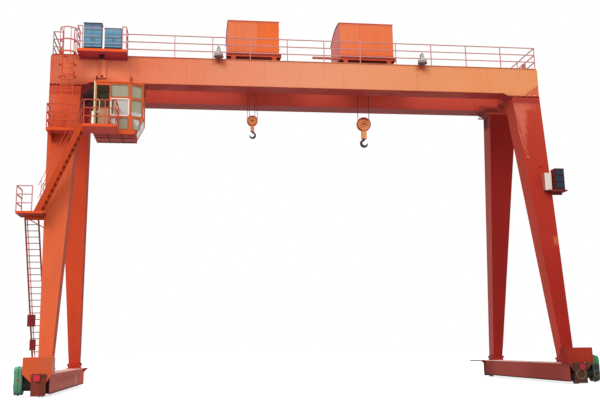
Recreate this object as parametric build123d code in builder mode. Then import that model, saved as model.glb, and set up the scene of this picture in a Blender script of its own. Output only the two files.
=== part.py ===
from build123d import *
import math
import os

os.makedirs("parts", exist_ok=True)

# Driving dimensions in millimetres. X runs along the girders, Y across them (the cab side is -Y), Z up.
# The origin lies on the rail tops, midway between the runway rails and midway between the wheels.
runway_gauge = 22180
girder_overhang = 710
girder_top = 15270
girder_height = 1335
flange_width = 960
girder_gap = 2020
wheel_base = 9900
wheel_diameter = 600
trolley_gauge = 2500
cab_drop = 2535
landing_level = 7550
handrail_height = 1100
rail_bar = 40
panel_joint = 0.3
plate = 20

# Places worked out from the driving dimensions
half_length = runway_gauge / 2 + girder_overhang
girder_bottom = girder_top - girder_height
girder_y = girder_gap / 2 + flange_width / 2
girder_face = girder_gap / 2 + flange_width
web_width = flange_width - 80
web_face = girder_y + web_width / 2
beam_x = runway_gauge / 2
wheel_y = wheel_base / 2
floor_level = girder_bottom - cab_drop
CENTRE = (Align.CENTER, Align.CENTER, Align.CENTER)
ON_BASE = (Align.CENTER, Align.CENTER, Align.MIN)


def add_bar(start, end, width):
    """Add a straight bar of square section between two points."""
    run = Vector(*end) - Vector(*start)
    with BuildSketch(Plane(origin=start, z_dir=run)) as section:
        Rectangle(width, width)
    extrude(section.sketch, amount=run.length)


def add_box(x_range, y_range, z_range, mode=Mode.ADD):
    """Add a box given by its three ranges."""
    middle = [(low + high) / 2 for low, high in (x_range, y_range, z_range)]
    sizes = [abs(high - low) for low, high in (x_range, y_range, z_range)]
    with Locations(Location(Vector(*middle))):
        Box(*sizes, align=CENTRE, mode=mode)


def add_profile(points, y_range):
    """Add a plate or a prism whose outline in X and Z is a polygon, between two values of Y."""
    with BuildSketch(Plane.XZ.offset(-y_range[0])) as outline:
        with BuildLine():
            Polyline(*points, close=True)
        make_face()
    extrude(outline.sketch, amount=y_range[0] - y_range[1])


def add_railing(corners, base, post_spacing=1785):
    """Add a railing along a chain of corners: a flat panel with three rails for each straight run.

    Posts stand at an even pitch and at the end of each panel. The next panel starts a hair's
    breadth away from that post.
    """
    for number, (start, end) in enumerate(zip(corners, corners[1:])):
        run = Vector(*end) - Vector(*start)
        towards = run.normalized()
        inset = rail_bar / 2 + panel_joint if number else 0
        first = Vector(*start) + towards * inset
        for share in (1 / 3, 2 / 3, 1):
            height = base + handrail_height * share - rail_bar / 2
            add_bar((first.X, first.Y, height), (*end, height), rail_bar)
        bays = max(1, math.ceil(run.length / post_spacing - 1 / 4))
        steps = [step * post_spacing for step in range(1 if number else 0, bays)] + [run.length]
        posts = [Vector(*start) + towards * step for step in steps]
        with Locations(*[(post.X, post.Y, base) for post in posts]):
            Box(rail_bar, rail_bar, handrail_height, align=ON_BASE)


# Girders: a welded box on each side, with a deeper seat over each leg
seat_drop = 170
seat_length = 1430
haunch_run = 370
corner_cut = 90
seat_level = girder_bottom - seat_drop
haunch_foot = half_length - seat_length
haunch_top = haunch_foot - haunch_run

with BuildPart() as front_girder:
    add_profile(
        [
            (-half_length, girder_top - corner_cut),
            (corner_cut - half_length, girder_top),
            (half_length - corner_cut, girder_top),
            (half_length, girder_top - corner_cut),
            (half_length, seat_level),
            (haunch_foot, seat_level),
            (haunch_top, girder_bottom),
            (-haunch_top, girder_bottom),
            (-haunch_foot, seat_level),
            (-half_length, seat_level),
        ],
        (-web_face, -web_face + web_width),
    )
    flange_end = half_length - corner_cut
    add_box((-flange_end, flange_end), (-girder_face, -girder_gap / 2), (girder_top - plate, girder_top))
    add_box(
        (-haunch_top, haunch_top),
        (-girder_face, -girder_gap / 2),
        (girder_bottom, girder_bottom + plate),
    )
    for side in (-1, 1):
        add_box(
            (side * haunch_foot, side * half_length),
            (-girder_face, -girder_gap / 2),
            (seat_level, seat_level + 2 * plate),
        )
front_girder.part.label = "front_girder"
export_step(front_girder.part, "parts/front_girder.step")

with BuildPart() as rear_girder:
    mirror(front_girder.part, about=Plane.XZ)
rear_girder.part.label = "rear_girder"
export_step(rear_girder.part, "parts/rear_girder.step")

# Cable duct up the front of the left end
duct_left = 2150 - half_length
duct_width = 380
duct_depth = 70
duct_height = 885
duct_top = girder_top - 245

with BuildPart() as cable_duct:
    add_box(
        (duct_left, duct_left + duct_width),
        (-web_face - duct_depth, -web_face),
        (duct_top - duct_height, duct_top),
    )
    duct_corners = cable_duct.edges().filter_by(Axis.Z).group_by(Axis.Y)[0]
    chamfer(duct_corners, length=plate)
cable_duct.part.label = "cable_duct"
export_step(cable_duct.part, "parts/cable_duct.step")

# Ties that join the two girders at their ends
tie_width = 500
tie_drop = 120
tie_height = 880
tie_inset = 700
tie_high = girder_top - tie_drop
tie_low = tie_high - tie_height
tie_x = half_length - tie_inset
tie_reach = girder_y - web_width / 2

with BuildPart() as end_ties:
    for side in (-1, 1):
        add_box(
            (side * tie_x - tie_width / 2, side * tie_x + tie_width / 2),
            (-tie_reach, tie_reach),
            (tie_low, tie_high),
        )
end_ties.part.label = "end_ties"
export_step(end_ties.part, "parts/end_ties.step")

# Rails for the two trolleys, with a stop at each end
rail_width = 60
rail_height = 80
rail_end = half_length - 300
stop_size = 160
trolley_rail_top = girder_top + rail_height

with BuildPart() as trolley_rails:
    for side in (-1, 1):
        rail_y = side * trolley_gauge / 2
        add_box(
            (-rail_end, rail_end),
            (rail_y - rail_width / 2, rail_y + rail_width / 2),
            (girder_top, trolley_rail_top),
        )
        with Locations(*[(end * (rail_end - stop_size / 2), rail_y, girder_top) for end in (-1, 1)]):
            Box(stop_size, stop_size, 3 * stop_size, align=ON_BASE)
trolley_rails.part.label = "trolley_rails"
export_step(trolley_rails.part, "parts/trolley_rails.step")

# Legs: tapered boxes that spread towards the ground, between two bolted flanges
leg_flange = 30
leg_top = seat_level - leg_flange
beam_bottom = 100
beam_top = 894
foot_seat = 166
foot_plate = 40
leg_bottom = beam_top + foot_seat + foot_plate
leg_foot_length = 500
leg_foot_depth = 640
leg_foot_setback = 830
leg_foot_y = wheel_y - leg_foot_setback
foot_margin = 80
gusset_height = 180
gusset_pitch = 220


def leg_edges(level):
    """Return how far the outer and front faces of a leg lie from the crane's middle at one level."""
    share = (level - leg_bottom) / (leg_top - leg_bottom)
    outer_foot = beam_x + leg_foot_length / 2
    front_foot = leg_foot_y + leg_foot_depth / 2
    outer = outer_foot + share * (half_length - outer_foot)
    front = front_foot + share * (girder_face - front_foot)
    return outer, front


with BuildPart() as front_left_leg:
    with BuildSketch(Plane(origin=(-beam_x, -leg_foot_y, leg_bottom))) as foot_section:
        Rectangle(leg_foot_length, leg_foot_depth)
    with BuildSketch(Plane(origin=(-half_length + seat_length / 2, -girder_y, leg_top))) as head_section:
        Rectangle(seat_length, flange_width)
    loft()
    add_box(
        (-half_length, -haunch_foot),
        (-girder_face, -girder_gap / 2),
        (leg_top, seat_level),
    )
    with Locations((-beam_x, -leg_foot_y, leg_bottom - foot_plate)):
        Box(leg_foot_length + 2 * foot_margin, leg_foot_depth + foot_margin, foot_plate, align=ON_BASE)
    for side in (-1, 1):
        foot_face = -beam_x + side * (leg_foot_length / 2 - plate)
        for rib_y in (-leg_foot_y - gusset_pitch, -leg_foot_y, -leg_foot_y + gusset_pitch):
            add_profile(
                [
                    (foot_face, leg_bottom),
                    (foot_face + side * foot_margin, leg_bottom),
                    (foot_face, leg_bottom + gusset_height),
                ],
                (rib_y - plate / 2, rib_y + plate / 2),
            )
front_left_leg.part.label = "front_left_leg"
export_step(front_left_leg.part, "parts/front_left_leg.step")

with BuildPart() as rear_left_leg:
    mirror(front_left_leg.part, about=Plane.XZ)
rear_left_leg.part.label = "rear_left_leg"
export_step(rear_left_leg.part, "parts/rear_left_leg.step")

with BuildPart() as front_right_leg:
    mirror(front_left_leg.part, about=Plane.YZ)
front_right_leg.part.label = "front_right_leg"
export_step(front_right_leg.part, "parts/front_right_leg.step")

with BuildPart() as rear_right_leg:
    mirror(rear_left_leg.part, about=Plane.YZ)
rear_right_leg.part.label = "rear_right_leg"
export_step(rear_right_leg.part, "parts/rear_right_leg.step")

# Ground beams: a closed box between the wheels, and two cheeks round each wheel
beam_width = 671
box_end = wheel_y - 400
cheek_end = wheel_y + 190
nose_width = 480
plate_back = wheel_y + 350
wing_reach = 234
wing_y = cheek_end - 190
clamp_bar_length = 850
clamp_bar_size = 50

with BuildPart() as left_ground_beam:
    add_box(
        (-beam_x - beam_width / 2, -beam_x + beam_width / 2),
        (-box_end, box_end),
        (beam_bottom, beam_top),
    )
    for end in (-1, 1):
        for face in (-beam_x - beam_width / 2, -beam_x + beam_width / 2 - plate):
            add_box((face, face + plate), (end * box_end, end * cheek_end), (beam_bottom, beam_top))
        add_box(
            (-beam_x - beam_width / 2, -beam_x + beam_width / 2),
            (end * box_end, end * cheek_end),
            (beam_top - plate, beam_top),
        )
        add_box(
            (-beam_x - nose_width / 2, -beam_x + nose_width / 2),
            (end * box_end, end * plate_back),
            (beam_top - plate, beam_top),
        )
        with Locations((-beam_x, end * leg_foot_y, beam_top)):
            Box(leg_foot_length + foot_margin, leg_foot_depth, foot_seat, align=ON_BASE)
        with Locations((-beam_x, end * leg_foot_y, beam_top + foot_seat - foot_plate)):
            Box(
                leg_foot_length + 2 * foot_margin,
                leg_foot_depth + foot_margin,
                foot_plate,
                align=ON_BASE,
            )
    for side in (-1, 1):
        face = -beam_x + side * beam_width / 2
        add_profile(
            [(face, beam_top), (face + side * wing_reach, beam_top), (face, beam_top - wing_reach)],
            (wing_y, wing_y + 2 * plate),
        )
left_ground_beam.part.label = "left_ground_beam"
export_step(left_ground_beam.part, "parts/left_ground_beam.step")

with BuildPart() as right_ground_beam:
    mirror(left_ground_beam.part, about=Plane.YZ)
    clamp_start = beam_x - beam_width / 2
    add_box(
        (clamp_start - clamp_bar_length, clamp_start),
        (wing_y - clamp_bar_size, wing_y),
        (beam_top - clamp_bar_size, beam_top),
    )
right_ground_beam.part.label = "right_ground_beam"
export_step(right_ground_beam.part, "parts/right_ground_beam.step")

# Runway wheels with their axles, and the blocks that carry them
tread_diameter = 550
wheel_width = 140
wheel_flange = 25
axle_diameter = 100
axle_length = 590
axle_play = 0.3
wheel_radius = wheel_diameter / 2
block_inner = 156
block_outer = beam_width / 2 - plate
block_depth = 260
block_height = 300

with BuildPart() as axle_blocks:
    for side in (-1, 1):
        for end in (-1, 1):
            for cheek in (-1, 1):
                inner = side * beam_x + cheek * block_inner
                outer = side * beam_x + cheek * block_outer
                add_box(
                    (min(inner, outer), max(inner, outer)),
                    (end * wheel_y - block_depth / 2, end * wheel_y + block_depth / 2),
                    (wheel_radius - block_height / 2, wheel_radius + block_height / 2),
                )
            with Locations(Location((side * beam_x, end * wheel_y, wheel_radius), (0, 90, 0))):
                Cylinder(
                    axle_diameter / 2 + axle_play,
                    axle_length + 2 * axle_play,
                    mode=Mode.SUBTRACT,
                )
axle_blocks.part.label = "axle_blocks"
export_step(axle_blocks.part, "parts/axle_blocks.step")

wheel_places = {
    "front_left_wheel": (-beam_x, -wheel_y),
    "rear_left_wheel": (-beam_x, wheel_y),
    "front_right_wheel": (beam_x, -wheel_y),
    "rear_right_wheel": (beam_x, wheel_y),
}
for wheel_name, (wheel_x, wheel_centre_y) in wheel_places.items():
    hub = (wheel_x, wheel_centre_y, wheel_radius)
    with BuildPart() as wheel:
        with Locations(Location(hub, (0, 90, 0))):
            Cylinder(tread_diameter / 2, wheel_width)
            Cylinder(axle_diameter / 2, axle_length)
            Cylinder(axle_diameter, wheel_width + 2 * wheel_flange)
        for rim in (-1, 1):
            rim_x = wheel_x + rim * (wheel_width - wheel_flange) / 2
            with Locations(Location((rim_x, *hub[1:]), (0, 90, 0))):
                Cylinder(wheel_radius, wheel_flange)
    wheel.part.label = wheel_name
    export_step(wheel.part, f"parts/{wheel_name}.step")

# End plates with rubber buffers
end_plate_inner = beam_x - 230
end_plate_outer = beam_x + 330
end_plate_low = 50
end_plate_high = 890
end_plate_depth = 60
buffer_x = beam_x + 92
buffer_z = 735
buffer_size = 230
buffer_length = 120
plate_front = plate_back + end_plate_depth

with BuildPart() as end_plates:
    for side in (-1, 1):
        for end in (-1, 1):
            add_box(
                sorted((side * end_plate_inner, side * end_plate_outer)),
                (end * plate_back, end * plate_front),
                (end_plate_low, end_plate_high),
            )
end_plates.part.label = "end_plates"
export_step(end_plates.part, "parts/end_plates.step")

with BuildPart() as buffers:
    for side in (-1, 1):
        for end in (-1, 1):
            with Locations((side * buffer_x, end * (plate_front + buffer_length / 2), buffer_z)):
                Box(buffer_size, buffer_length, buffer_size)
    fillet(buffers.edges().filter_by(Axis.Y), radius=buffer_size / 5)
buffers.part.label = "buffers"
export_step(buffers.part, "parts/buffers.step")

# Travel drives: a hood over each front wheel, an upright gearbox outside it and the hub between
hood_inner = beam_x - 430
hood_outer = beam_x + 680
hood_front = wheel_y + 340
hood_back = 4500
hood_top = 1535
wing_low = 550
wing_plate = 40
gearbox_inner = hood_outer + 10
gearbox_width = 350
gearbox_low = 90
gearbox_high = 1185
gearbox_depth = 420
gearbox_flange = 30
cover_radius = 120
cover_thickness = 30
hub_radius = 190
hub_level = 430

with BuildPart() as drive_hoods:
    for side in (-1, 1):
        add_box(
            sorted((side * hood_inner, side * hood_outer)),
            (-hood_front, -hood_back),
            (beam_top, hood_top),
        )
    fillet(drive_hoods.edges().filter_by(Axis.Y).group_by(Axis.Z)[-1], radius=2 * plate)
    for side in (-1, 1):
        beam_face = side * (beam_x + beam_width / 2)
        nose_face = side * (beam_x - nose_width / 2)
        add_profile(
            [(beam_face, beam_top), (side * hood_outer, beam_top), (beam_face, wing_low)],
            (-hood_front, -hood_front + wing_plate),
        )
        add_profile(
            [(nose_face, beam_top), (side * hood_inner, beam_top), (nose_face, wing_low)],
            (-hood_front, -hood_front + wing_plate),
        )
drive_hoods.part.label = "drive_hoods"
export_step(drive_hoods.part, "parts/drive_hoods.step")

with BuildPart() as travel_gearboxes:
    for side in (-1, 1):
        start_x = side * gearbox_inner
        middle = (gearbox_low + gearbox_high) / 2
        with BuildSketch(
            Plane(origin=(start_x, -wheel_y, middle), x_dir=(0, 1, 0), z_dir=(side, 0, 0))
        ) as casing:
            SlotOverall(gearbox_high - gearbox_low, gearbox_depth, rotation=90)
        extrude(casing.sketch, amount=gearbox_width - cover_thickness)
        joint_plane = Plane(
            origin=(start_x + side * gearbox_width / 2, -wheel_y, middle),
            x_dir=(0, 1, 0),
            z_dir=(side, 0, 0),
        )
        with BuildSketch(joint_plane) as joint_flange:
            SlotOverall(
                gearbox_high - gearbox_low + 2 * gearbox_flange,
                gearbox_depth + 2 * gearbox_flange,
                rotation=90,
            )
        extrude(joint_flange.sketch, amount=plate, both=True)
        cover_x = start_x + side * (gearbox_width - cover_thickness / 2)
        for cover_level in (hub_level, gearbox_high - gearbox_depth / 2):
            with Locations(Location((cover_x, -wheel_y, cover_level), (0, 90, 0))):
                Cylinder(cover_radius, cover_thickness)
travel_gearboxes.part.label = "travel_gearboxes"
export_step(travel_gearboxes.part, "parts/travel_gearboxes.step")

with BuildPart() as gearbox_hubs:
    for side in (-1, 1):
        beam_face = beam_x + beam_width / 2
        hub_middle = side * (beam_face + gearbox_inner) / 2
        with Locations(Location((hub_middle, -wheel_y, hub_level), (0, 90, 0))):
            Cylinder(hub_radius, gearbox_inner - beam_face)
gearbox_hubs.part.label = "gearbox_hubs"
export_step(gearbox_hubs.part, "parts/gearbox_hubs.step")

# Lower ladder: it leans outwards, behind the front left leg
landing_leg_x, landing_leg_y = leg_edges(landing_level)
ladder_setback = 364
ladder_y = ladder_setback - landing_leg_y
ladder_stile = 60
ladder_foot_reach = 450
ladder_head_reach = 583
ladder_foot_x = -beam_x - ladder_foot_reach
ladder_head_x = -landing_leg_x - ladder_head_reach
ladder_width = 560
ladder_foot = beam_top + foot_plate
rung_pitch = 270
rung_size = 30
ladder_rise = landing_level - ladder_foot
ladder_lean = (ladder_head_x - ladder_foot_x) / ladder_rise
rung_count = int(ladder_rise // rung_pitch)
stile_offset = ladder_width / 2

with BuildPart() as lower_ladder:
    for stile in (-1, 1):
        add_bar(
            (ladder_foot_x + stile * stile_offset, ladder_y, ladder_foot),
            (ladder_head_x + stile * stile_offset, ladder_y, landing_level),
            ladder_stile,
        )
    for rung in range(1, rung_count + 1):
        rung_z = ladder_foot + rung * rung_pitch
        rung_x = ladder_foot_x + ladder_lean * rung * rung_pitch
        add_box(
            (rung_x - stile_offset, rung_x + stile_offset),
            (ladder_y - rung_size / 2, ladder_y + rung_size / 2),
            (rung_z - rung_size / 2, rung_z + rung_size / 2),
        )
    foot_reach = stile_offset + ladder_stile
    add_box(
        (ladder_foot_x - foot_reach, ladder_foot_x + foot_reach),
        (ladder_y - ladder_stile, ladder_y + ladder_stile),
        (beam_top, ladder_foot),
    )
lower_ladder.part.label = "lower_ladder"
export_step(lower_ladder.part, "parts/lower_ladder.step")

# Boxes clipped to the outer stile of the lower ladder
ladder_box_sizes = {3040: (490, 300), 2030: (440, 220)}
box_depth = 180
box_overlap = 60

with BuildPart() as ladder_boxes:
    for level, (box_height, box_width) in ladder_box_sizes.items():
        box_x = ladder_foot_x + ladder_lean * (level - ladder_foot) - stile_offset + box_overlap
        add_box(
            (box_x - box_width / 2, box_x + box_width / 2),
            (ladder_y - ladder_stile / 2 - box_depth, ladder_y - ladder_stile / 2),
            (level - box_height / 2, level + box_height / 2),
        )
ladder_boxes.part.label = "ladder_boxes"
export_step(ladder_boxes.part, "parts/ladder_boxes.step")

# Landing between the ladder and the stair
landing_length = 1120
landing_overlap = 95
landing_depth = 1150
landing_right = landing_overlap - landing_leg_x
landing_left = landing_right - landing_length
landing_back = ladder_y - ladder_stile / 2
landing_front = landing_back - landing_depth
landing_slab = 100
channel_depth = 110
brace_drop = 520
landing_rail_length = 650
landing_rail_end = landing_left + landing_rail_length

with BuildPart() as landing:
    add_box(
        (landing_left, landing_right),
        (landing_front, landing_back),
        (landing_level - landing_slab, landing_level),
    )
    channel_top = landing_level - landing_slab
    add_box(
        (landing_left + 200, landing_right + 200),
        (landing_back, landing_back - channel_depth),
        (channel_top - channel_depth, channel_top),
    )
    add_bar(
        (landing_left + 300, landing_back - channel_depth / 2, channel_top - channel_depth / 2),
        (landing_right, landing_back - channel_depth / 2, channel_top - brace_drop),
        rail_bar,
    )
    add(front_left_leg.part, mode=Mode.SUBTRACT)
landing.part.label = "landing"
export_step(landing.part, "parts/landing.step")

with BuildPart() as landing_railing:
    left_x = landing_left + rail_bar / 2
    front_y = landing_front + rail_bar / 2
    add_railing(
        [(left_x, landing_back - ladder_stile), (left_x, front_y), (landing_rail_end, front_y)],
        landing_level,
    )
landing_railing.part.label = "landing_railing"
export_step(landing_railing.part, "parts/landing_railing.step")

# Stair from the landing to the cab walkway
walk_inset = 1800
walk_reach = 1980
walk_left = walk_inset - half_length
walk_front = -girder_face - walk_reach
stair_front = walk_front
stair_width = 610
stringer_plate = 20
stringer_span = 270
stair_lean = 0.44
stair_setback = 730
stair_foot_x = landing_left + stair_setback
riser_count = 15
tread_depth = 200
tread_plate = 30
stair_rise = floor_level - landing_level
stair_head_x = stair_foot_x + stair_lean * stair_rise
inner_meet = landing_level + (walk_left - stair_foot_x - stringer_span) / stair_lean
riser = stair_rise / riser_count
stair_sides = (
    (stair_front, stair_front + stringer_plate),
    (stair_front + stair_width - stringer_plate, stair_front + stair_width),
)

with BuildPart() as stair_stringers:
    for side_range in stair_sides:
        add_profile(
            [
                (stair_foot_x, landing_level),
                (stair_foot_x + stringer_span, landing_level),
                (walk_left, inner_meet),
                (walk_left, floor_level),
                (stair_head_x, floor_level),
            ],
            side_range,
        )
stair_stringers.part.label = "stair_stringers"
export_step(stair_stringers.part, "parts/stair_stringers.step")

with BuildPart() as stair_treads:
    for step in range(1, riser_count):
        tread_x = stair_foot_x + stringer_span / 2 + stair_lean * step * riser
        tread_z = landing_level + step * riser
        add_box(
            (tread_x - tread_depth / 2, tread_x + tread_depth / 2),
            (stair_sides[0][1], stair_sides[1][0]),
            (tread_z - tread_plate, tread_z),
        )
stair_treads.part.label = "stair_treads"
export_step(stair_treads.part, "parts/stair_treads.step")

handrail_offset = 150
with BuildPart() as stair_handrails:
    for low_y, high_y in stair_sides:
        rail_y = (low_y + high_y) / 2
        for share in (0.5, 1):
            lift = handrail_height * share
            add_bar(
                (stair_foot_x + handrail_offset, rail_y, landing_level + lift),
                (stair_head_x + handrail_offset, rail_y, floor_level + lift),
                plate,
            )
        for step in (1, riser_count // 2, riser_count - 1):
            post_x = stair_foot_x + handrail_offset + stair_lean * step * riser
            post_z = landing_level + step * riser
            add_bar((post_x, rail_y, post_z), (post_x, rail_y, post_z + handrail_height), plate)
    add(stair_stringers.part, mode=Mode.SUBTRACT)
stair_handrails.part.label = "stair_handrails"
export_step(stair_handrails.part, "parts/stair_handrails.step")

# Upper platform in front of the leg, and the walkway in front of the cab
floor_slab = 120
platform_inset = 150
platform_reach = 1280
platform_gap = 330
cab_reach = 780
platform_left = platform_inset - half_length
platform_front = -girder_face - platform_reach
platform_back = -girder_face - platform_gap
walk_length = 1420
walk_right = walk_left + walk_length
cab_front = -girder_face - cab_reach
bracket_drop = 550
bracket_margin = 150
bracket_pitch = 880
bracket_xs = (platform_left + bracket_margin, platform_left + bracket_margin + bracket_pitch)

with BuildPart() as upper_platform:
    slab_low = floor_level - floor_slab
    add_box((platform_left, walk_left), (platform_front, platform_back), (slab_low, floor_level))
    add_box((walk_left, walk_right), (walk_front, cab_front), (slab_low, floor_level))
    for bracket_x in bracket_xs:
        with BuildSketch(Plane(origin=(bracket_x, 0, 0), x_dir=(0, 1, 0), z_dir=(1, 0, 0))) as web:
            with BuildLine():
                Polyline(
                    (platform_front + 100, slab_low),
                    (platform_back, slab_low),
                    (platform_back, slab_low - bracket_drop),
                    close=True,
                )
            make_face()
        extrude(web.sketch, amount=2 * plate)
    add(front_left_leg.part, mode=Mode.SUBTRACT)
    kept = upper_platform.solids().sort_by(SortBy.VOLUME)[-1]
    for offcut in upper_platform.solids():
        if offcut.volume < kept.volume / 2:
            add(offcut, mode=Mode.SUBTRACT)
upper_platform.part.label = "upper_platform"
export_step(upper_platform.part, "parts/upper_platform.step")

end_rail_length = 760
stair_gap = 300

with BuildPart() as platform_railing:
    rail_left = platform_left + rail_bar / 2
    rail_front = platform_front + rail_bar / 2
    add_railing(
        [
            (rail_left, platform_front + end_rail_length),
            (rail_left, rail_front),
            (walk_left - stair_gap, rail_front),
        ],
        floor_level,
        post_spacing=900,
    )
    walk_rail_y = walk_front + rail_bar / 2
    walk_rail_end = walk_right - rail_bar / 2
    add_railing(
        [
            (walk_left + rail_bar, walk_rail_y),
            (walk_rail_end, walk_rail_y),
            (walk_rail_end, cab_front - rail_bar),
        ],
        floor_level,
        post_spacing=900,
    )
platform_railing.part.label = "platform_railing"
export_step(platform_railing.part, "parts/platform_railing.step")

# Caged ladder from the upper platform to the top of the girder
upper_ladder_inset = 730
upper_ladder_reach = 630
upper_ladder_x = platform_left + upper_ladder_inset
upper_ladder_y = -girder_face - upper_ladder_reach
upper_ladder_half = 250
ladder_overrun = 900
upper_ladder_top = girder_top + ladder_overrun
cage_radius = 385
cage_gap = 15
hoop_count = 5
cage_bar = 30
cage_clearance = 2480
cage_low = floor_level + cage_clearance
cage_step = 570
tie_levels = (girder_bottom + 250, girder_top - 150)

with BuildPart() as upper_ladder:
    for stile in (-1, 1):
        stile_x = upper_ladder_x + stile * upper_ladder_half
        add_box(
            (stile_x - ladder_stile / 4, stile_x + ladder_stile / 4),
            (upper_ladder_y - ladder_stile / 2, upper_ladder_y + ladder_stile / 2),
            (floor_level, upper_ladder_top),
        )
        for level in tie_levels:
            add_box(
                (stile_x - ladder_stile / 4, stile_x + ladder_stile / 4),
                (upper_ladder_y, -web_face),
                (level, level + ladder_stile),
            )
    rungs = int((girder_top - floor_level) // rung_pitch)
    for rung in range(1, rungs + 1):
        rung_z = floor_level + rung * rung_pitch
        add_box(
            (upper_ladder_x - upper_ladder_half, upper_ladder_x + upper_ladder_half),
            (upper_ladder_y - rung_size / 2, upper_ladder_y + rung_size / 2),
            (rung_z - rung_size / 2, rung_z + rung_size / 2),
        )
upper_ladder.part.label = "upper_ladder"
export_step(upper_ladder.part, "parts/upper_ladder.step")

with BuildPart() as ladder_cage:
    hoop_levels = [cage_low + cage_step * step for step in range(hoop_count)]
    cage_y = upper_ladder_y - ladder_stile / 2
    for level in hoop_levels:
        with BuildSketch(Plane(origin=(upper_ladder_x, cage_y, level))) as hoop:
            Circle(cage_radius)
            Circle(cage_radius - cage_bar, mode=Mode.SUBTRACT)
            with Locations((0, cage_radius)):
                Rectangle(2 * cage_radius, 2 * cage_radius, mode=Mode.SUBTRACT)
            with Locations((-cage_radius + 60, -cage_bar / 2), (cage_radius - 60, -cage_bar / 2)):
                Rectangle(120, cage_bar)
        extrude(hoop.sketch, amount=2 * cage_bar)
    for angle in (200, 245, 295, 340):
        reach = cage_radius - cage_bar / 2
        strip_x = upper_ladder_x + reach * math.cos(math.radians(angle))
        strip_y = cage_y + reach * math.sin(math.radians(angle))
        add_bar(
            (strip_x, strip_y, hoop_levels[0]),
            (strip_x, strip_y, hoop_levels[-1] + 2 * cage_bar),
            cage_bar,
        )
ladder_cage.part.label = "ladder_cage"
export_step(ladder_cage.part, "parts/ladder_cage.step")

# Platform with the control cabinets, bracketed to the front of the girder
desk_left = upper_ladder_x + cage_radius + cage_gap
desk_length = 2210
desk_right = desk_left + desk_length
desk_reach = 830
desk_front = -girder_face - desk_reach
desk_slab = 130
desk_knee = 110
desk_margin = 150
cabinet_setback = 80
cabinet_front = desk_front + cabinet_setback
cabinet_depth = 420
cabinet_base = 40
cabinet_cap = 25
seam_gap = 6
door_proud = 12
cabinets = (
    (desk_left + 280, desk_left + 1075, 1220),
    (desk_left + 1210, desk_left + 1980, 990),
)

with BuildPart() as cabinet_platform:
    add_box((desk_left, desk_right), (desk_front, -girder_face), (girder_top - desk_slab, girder_top))
    desk_low = girder_top - desk_slab
    beam_reach = (-girder_face - 2 * plate, -web_face)
    add_box((desk_left, desk_right), beam_reach, (desk_low - desk_knee, desk_low))
    for bracket_x in (desk_left + desk_margin, desk_right - desk_margin - 2 * plate):
        with BuildSketch(Plane(origin=(bracket_x, 0, 0), x_dir=(0, 1, 0), z_dir=(1, 0, 0))) as web:
            with BuildLine():
                Polyline(
                    (desk_front + 2 * rail_bar, desk_low),
                    (-web_face, desk_low),
                    (-web_face, desk_low - desk_knee),
                    close=True,
                )
            make_face()
        extrude(web.sketch, amount=2 * plate)
cabinet_platform.part.label = "cabinet_platform"
export_step(cabinet_platform.part, "parts/cabinet_platform.step")

with BuildPart() as control_cabinets:
    for low_x, high_x, tall in cabinets:
        cabinet_back = cabinet_front + cabinet_depth
        cabinet_top = girder_top + cabinet_base + tall
        add_box((low_x, high_x), (cabinet_front, cabinet_back), (girder_top, cabinet_top - cabinet_cap))
        add_box(
            (low_x - cabinet_cap, high_x + cabinet_cap),
            (cabinet_front - cabinet_cap, cabinet_back),
            (cabinet_top - cabinet_cap, cabinet_top),
        )
        middle_x = (low_x + high_x) / 2
        for door_low_x, door_high_x in (
            (low_x + cabinet_cap, middle_x - seam_gap),
            (middle_x + seam_gap, high_x - cabinet_cap),
        ):
            add_box(
                (door_low_x, door_high_x),
                (cabinet_front - door_proud, cabinet_front),
                (girder_top + 2 * cabinet_base, cabinet_top - 2 * cabinet_cap),
            )
control_cabinets.part.label = "control_cabinets"
export_step(control_cabinets.part, "parts/control_cabinets.step")

with BuildPart() as cabinet_railing:
    desk_rail_y = desk_front + rail_bar / 2
    back_post_y = -girder_face - 60
    for outer_x, inner_x in (
        (desk_left + rail_bar / 2, cabinets[0][0] - rail_bar),
        (desk_right - rail_bar / 2, cabinets[1][1] + rail_bar),
    ):
        add_railing([(outer_x, back_post_y), (outer_x, desk_rail_y), (inner_x, desk_rail_y)], girder_top)
cabinet_railing.part.label = "cabinet_railing"
export_step(cabinet_railing.part, "parts/cabinet_railing.step")

# Handrails round the top of both girders, open where the caged ladder and the cabinets are
walkway_rail_y = girder_face - rail_bar
walkway_end_x = half_length - 100
ladder_gap = 330
cabinet_gap_end = desk_right - plate

with BuildPart() as walkway_railings:
    add_railing(
        [
            (upper_ladder_x - ladder_gap, -walkway_rail_y),
            (-walkway_end_x, -walkway_rail_y),
            (-walkway_end_x, walkway_rail_y),
            (walkway_end_x, walkway_rail_y),
            (walkway_end_x, -walkway_rail_y),
            (cabinet_gap_end, -walkway_rail_y),
        ],
        girder_top,
    )
walkway_railings.part.label = "walkway_railings"
export_step(walkway_railings.part, "parts/walkway_railings.step")

# Operator's cab under the front girder
cab_length = 2180
cab_corner_cut = (600, 350)
cab_inset = 300
cab_left = walk_left + cab_inset
cab_right = cab_left + cab_length
cab_corner_x = cab_right - cab_corner_cut[0]
cab_corner_y = cab_front + cab_corner_cut[1]
cab_back_gap = 70
cab_back = -girder_gap / 2 - cab_back_gap
cab_wall = 60
cab_roof_slab = 60
hanger_length = 195
cab_roof_level = girder_bottom - hanger_length - cab_roof_slab
cab_height = cab_roof_level - floor_level
slope_rise = 660
slope_run = 340
slope_top = floor_level + slope_rise
slope_foot_x = cab_right - slope_run
window_radius = 60
door_inset = 120
door_clear_width = 560
door_sill = 40
door_left = cab_left + door_inset
door_opening = (
    (door_left, door_left + door_clear_width),
    (floor_level + door_sill, cab_roof_level - door_inset),
)
front_pane = (cab_left + 710, cab_corner_x - door_sill)
window_rows = ((0.705, 0.965, 560), (0.322, 0.665, 560), (0.045, 0.283, 380))
side_pane = (1000, 1300)
back_pane = (1500, 1300)
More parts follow.
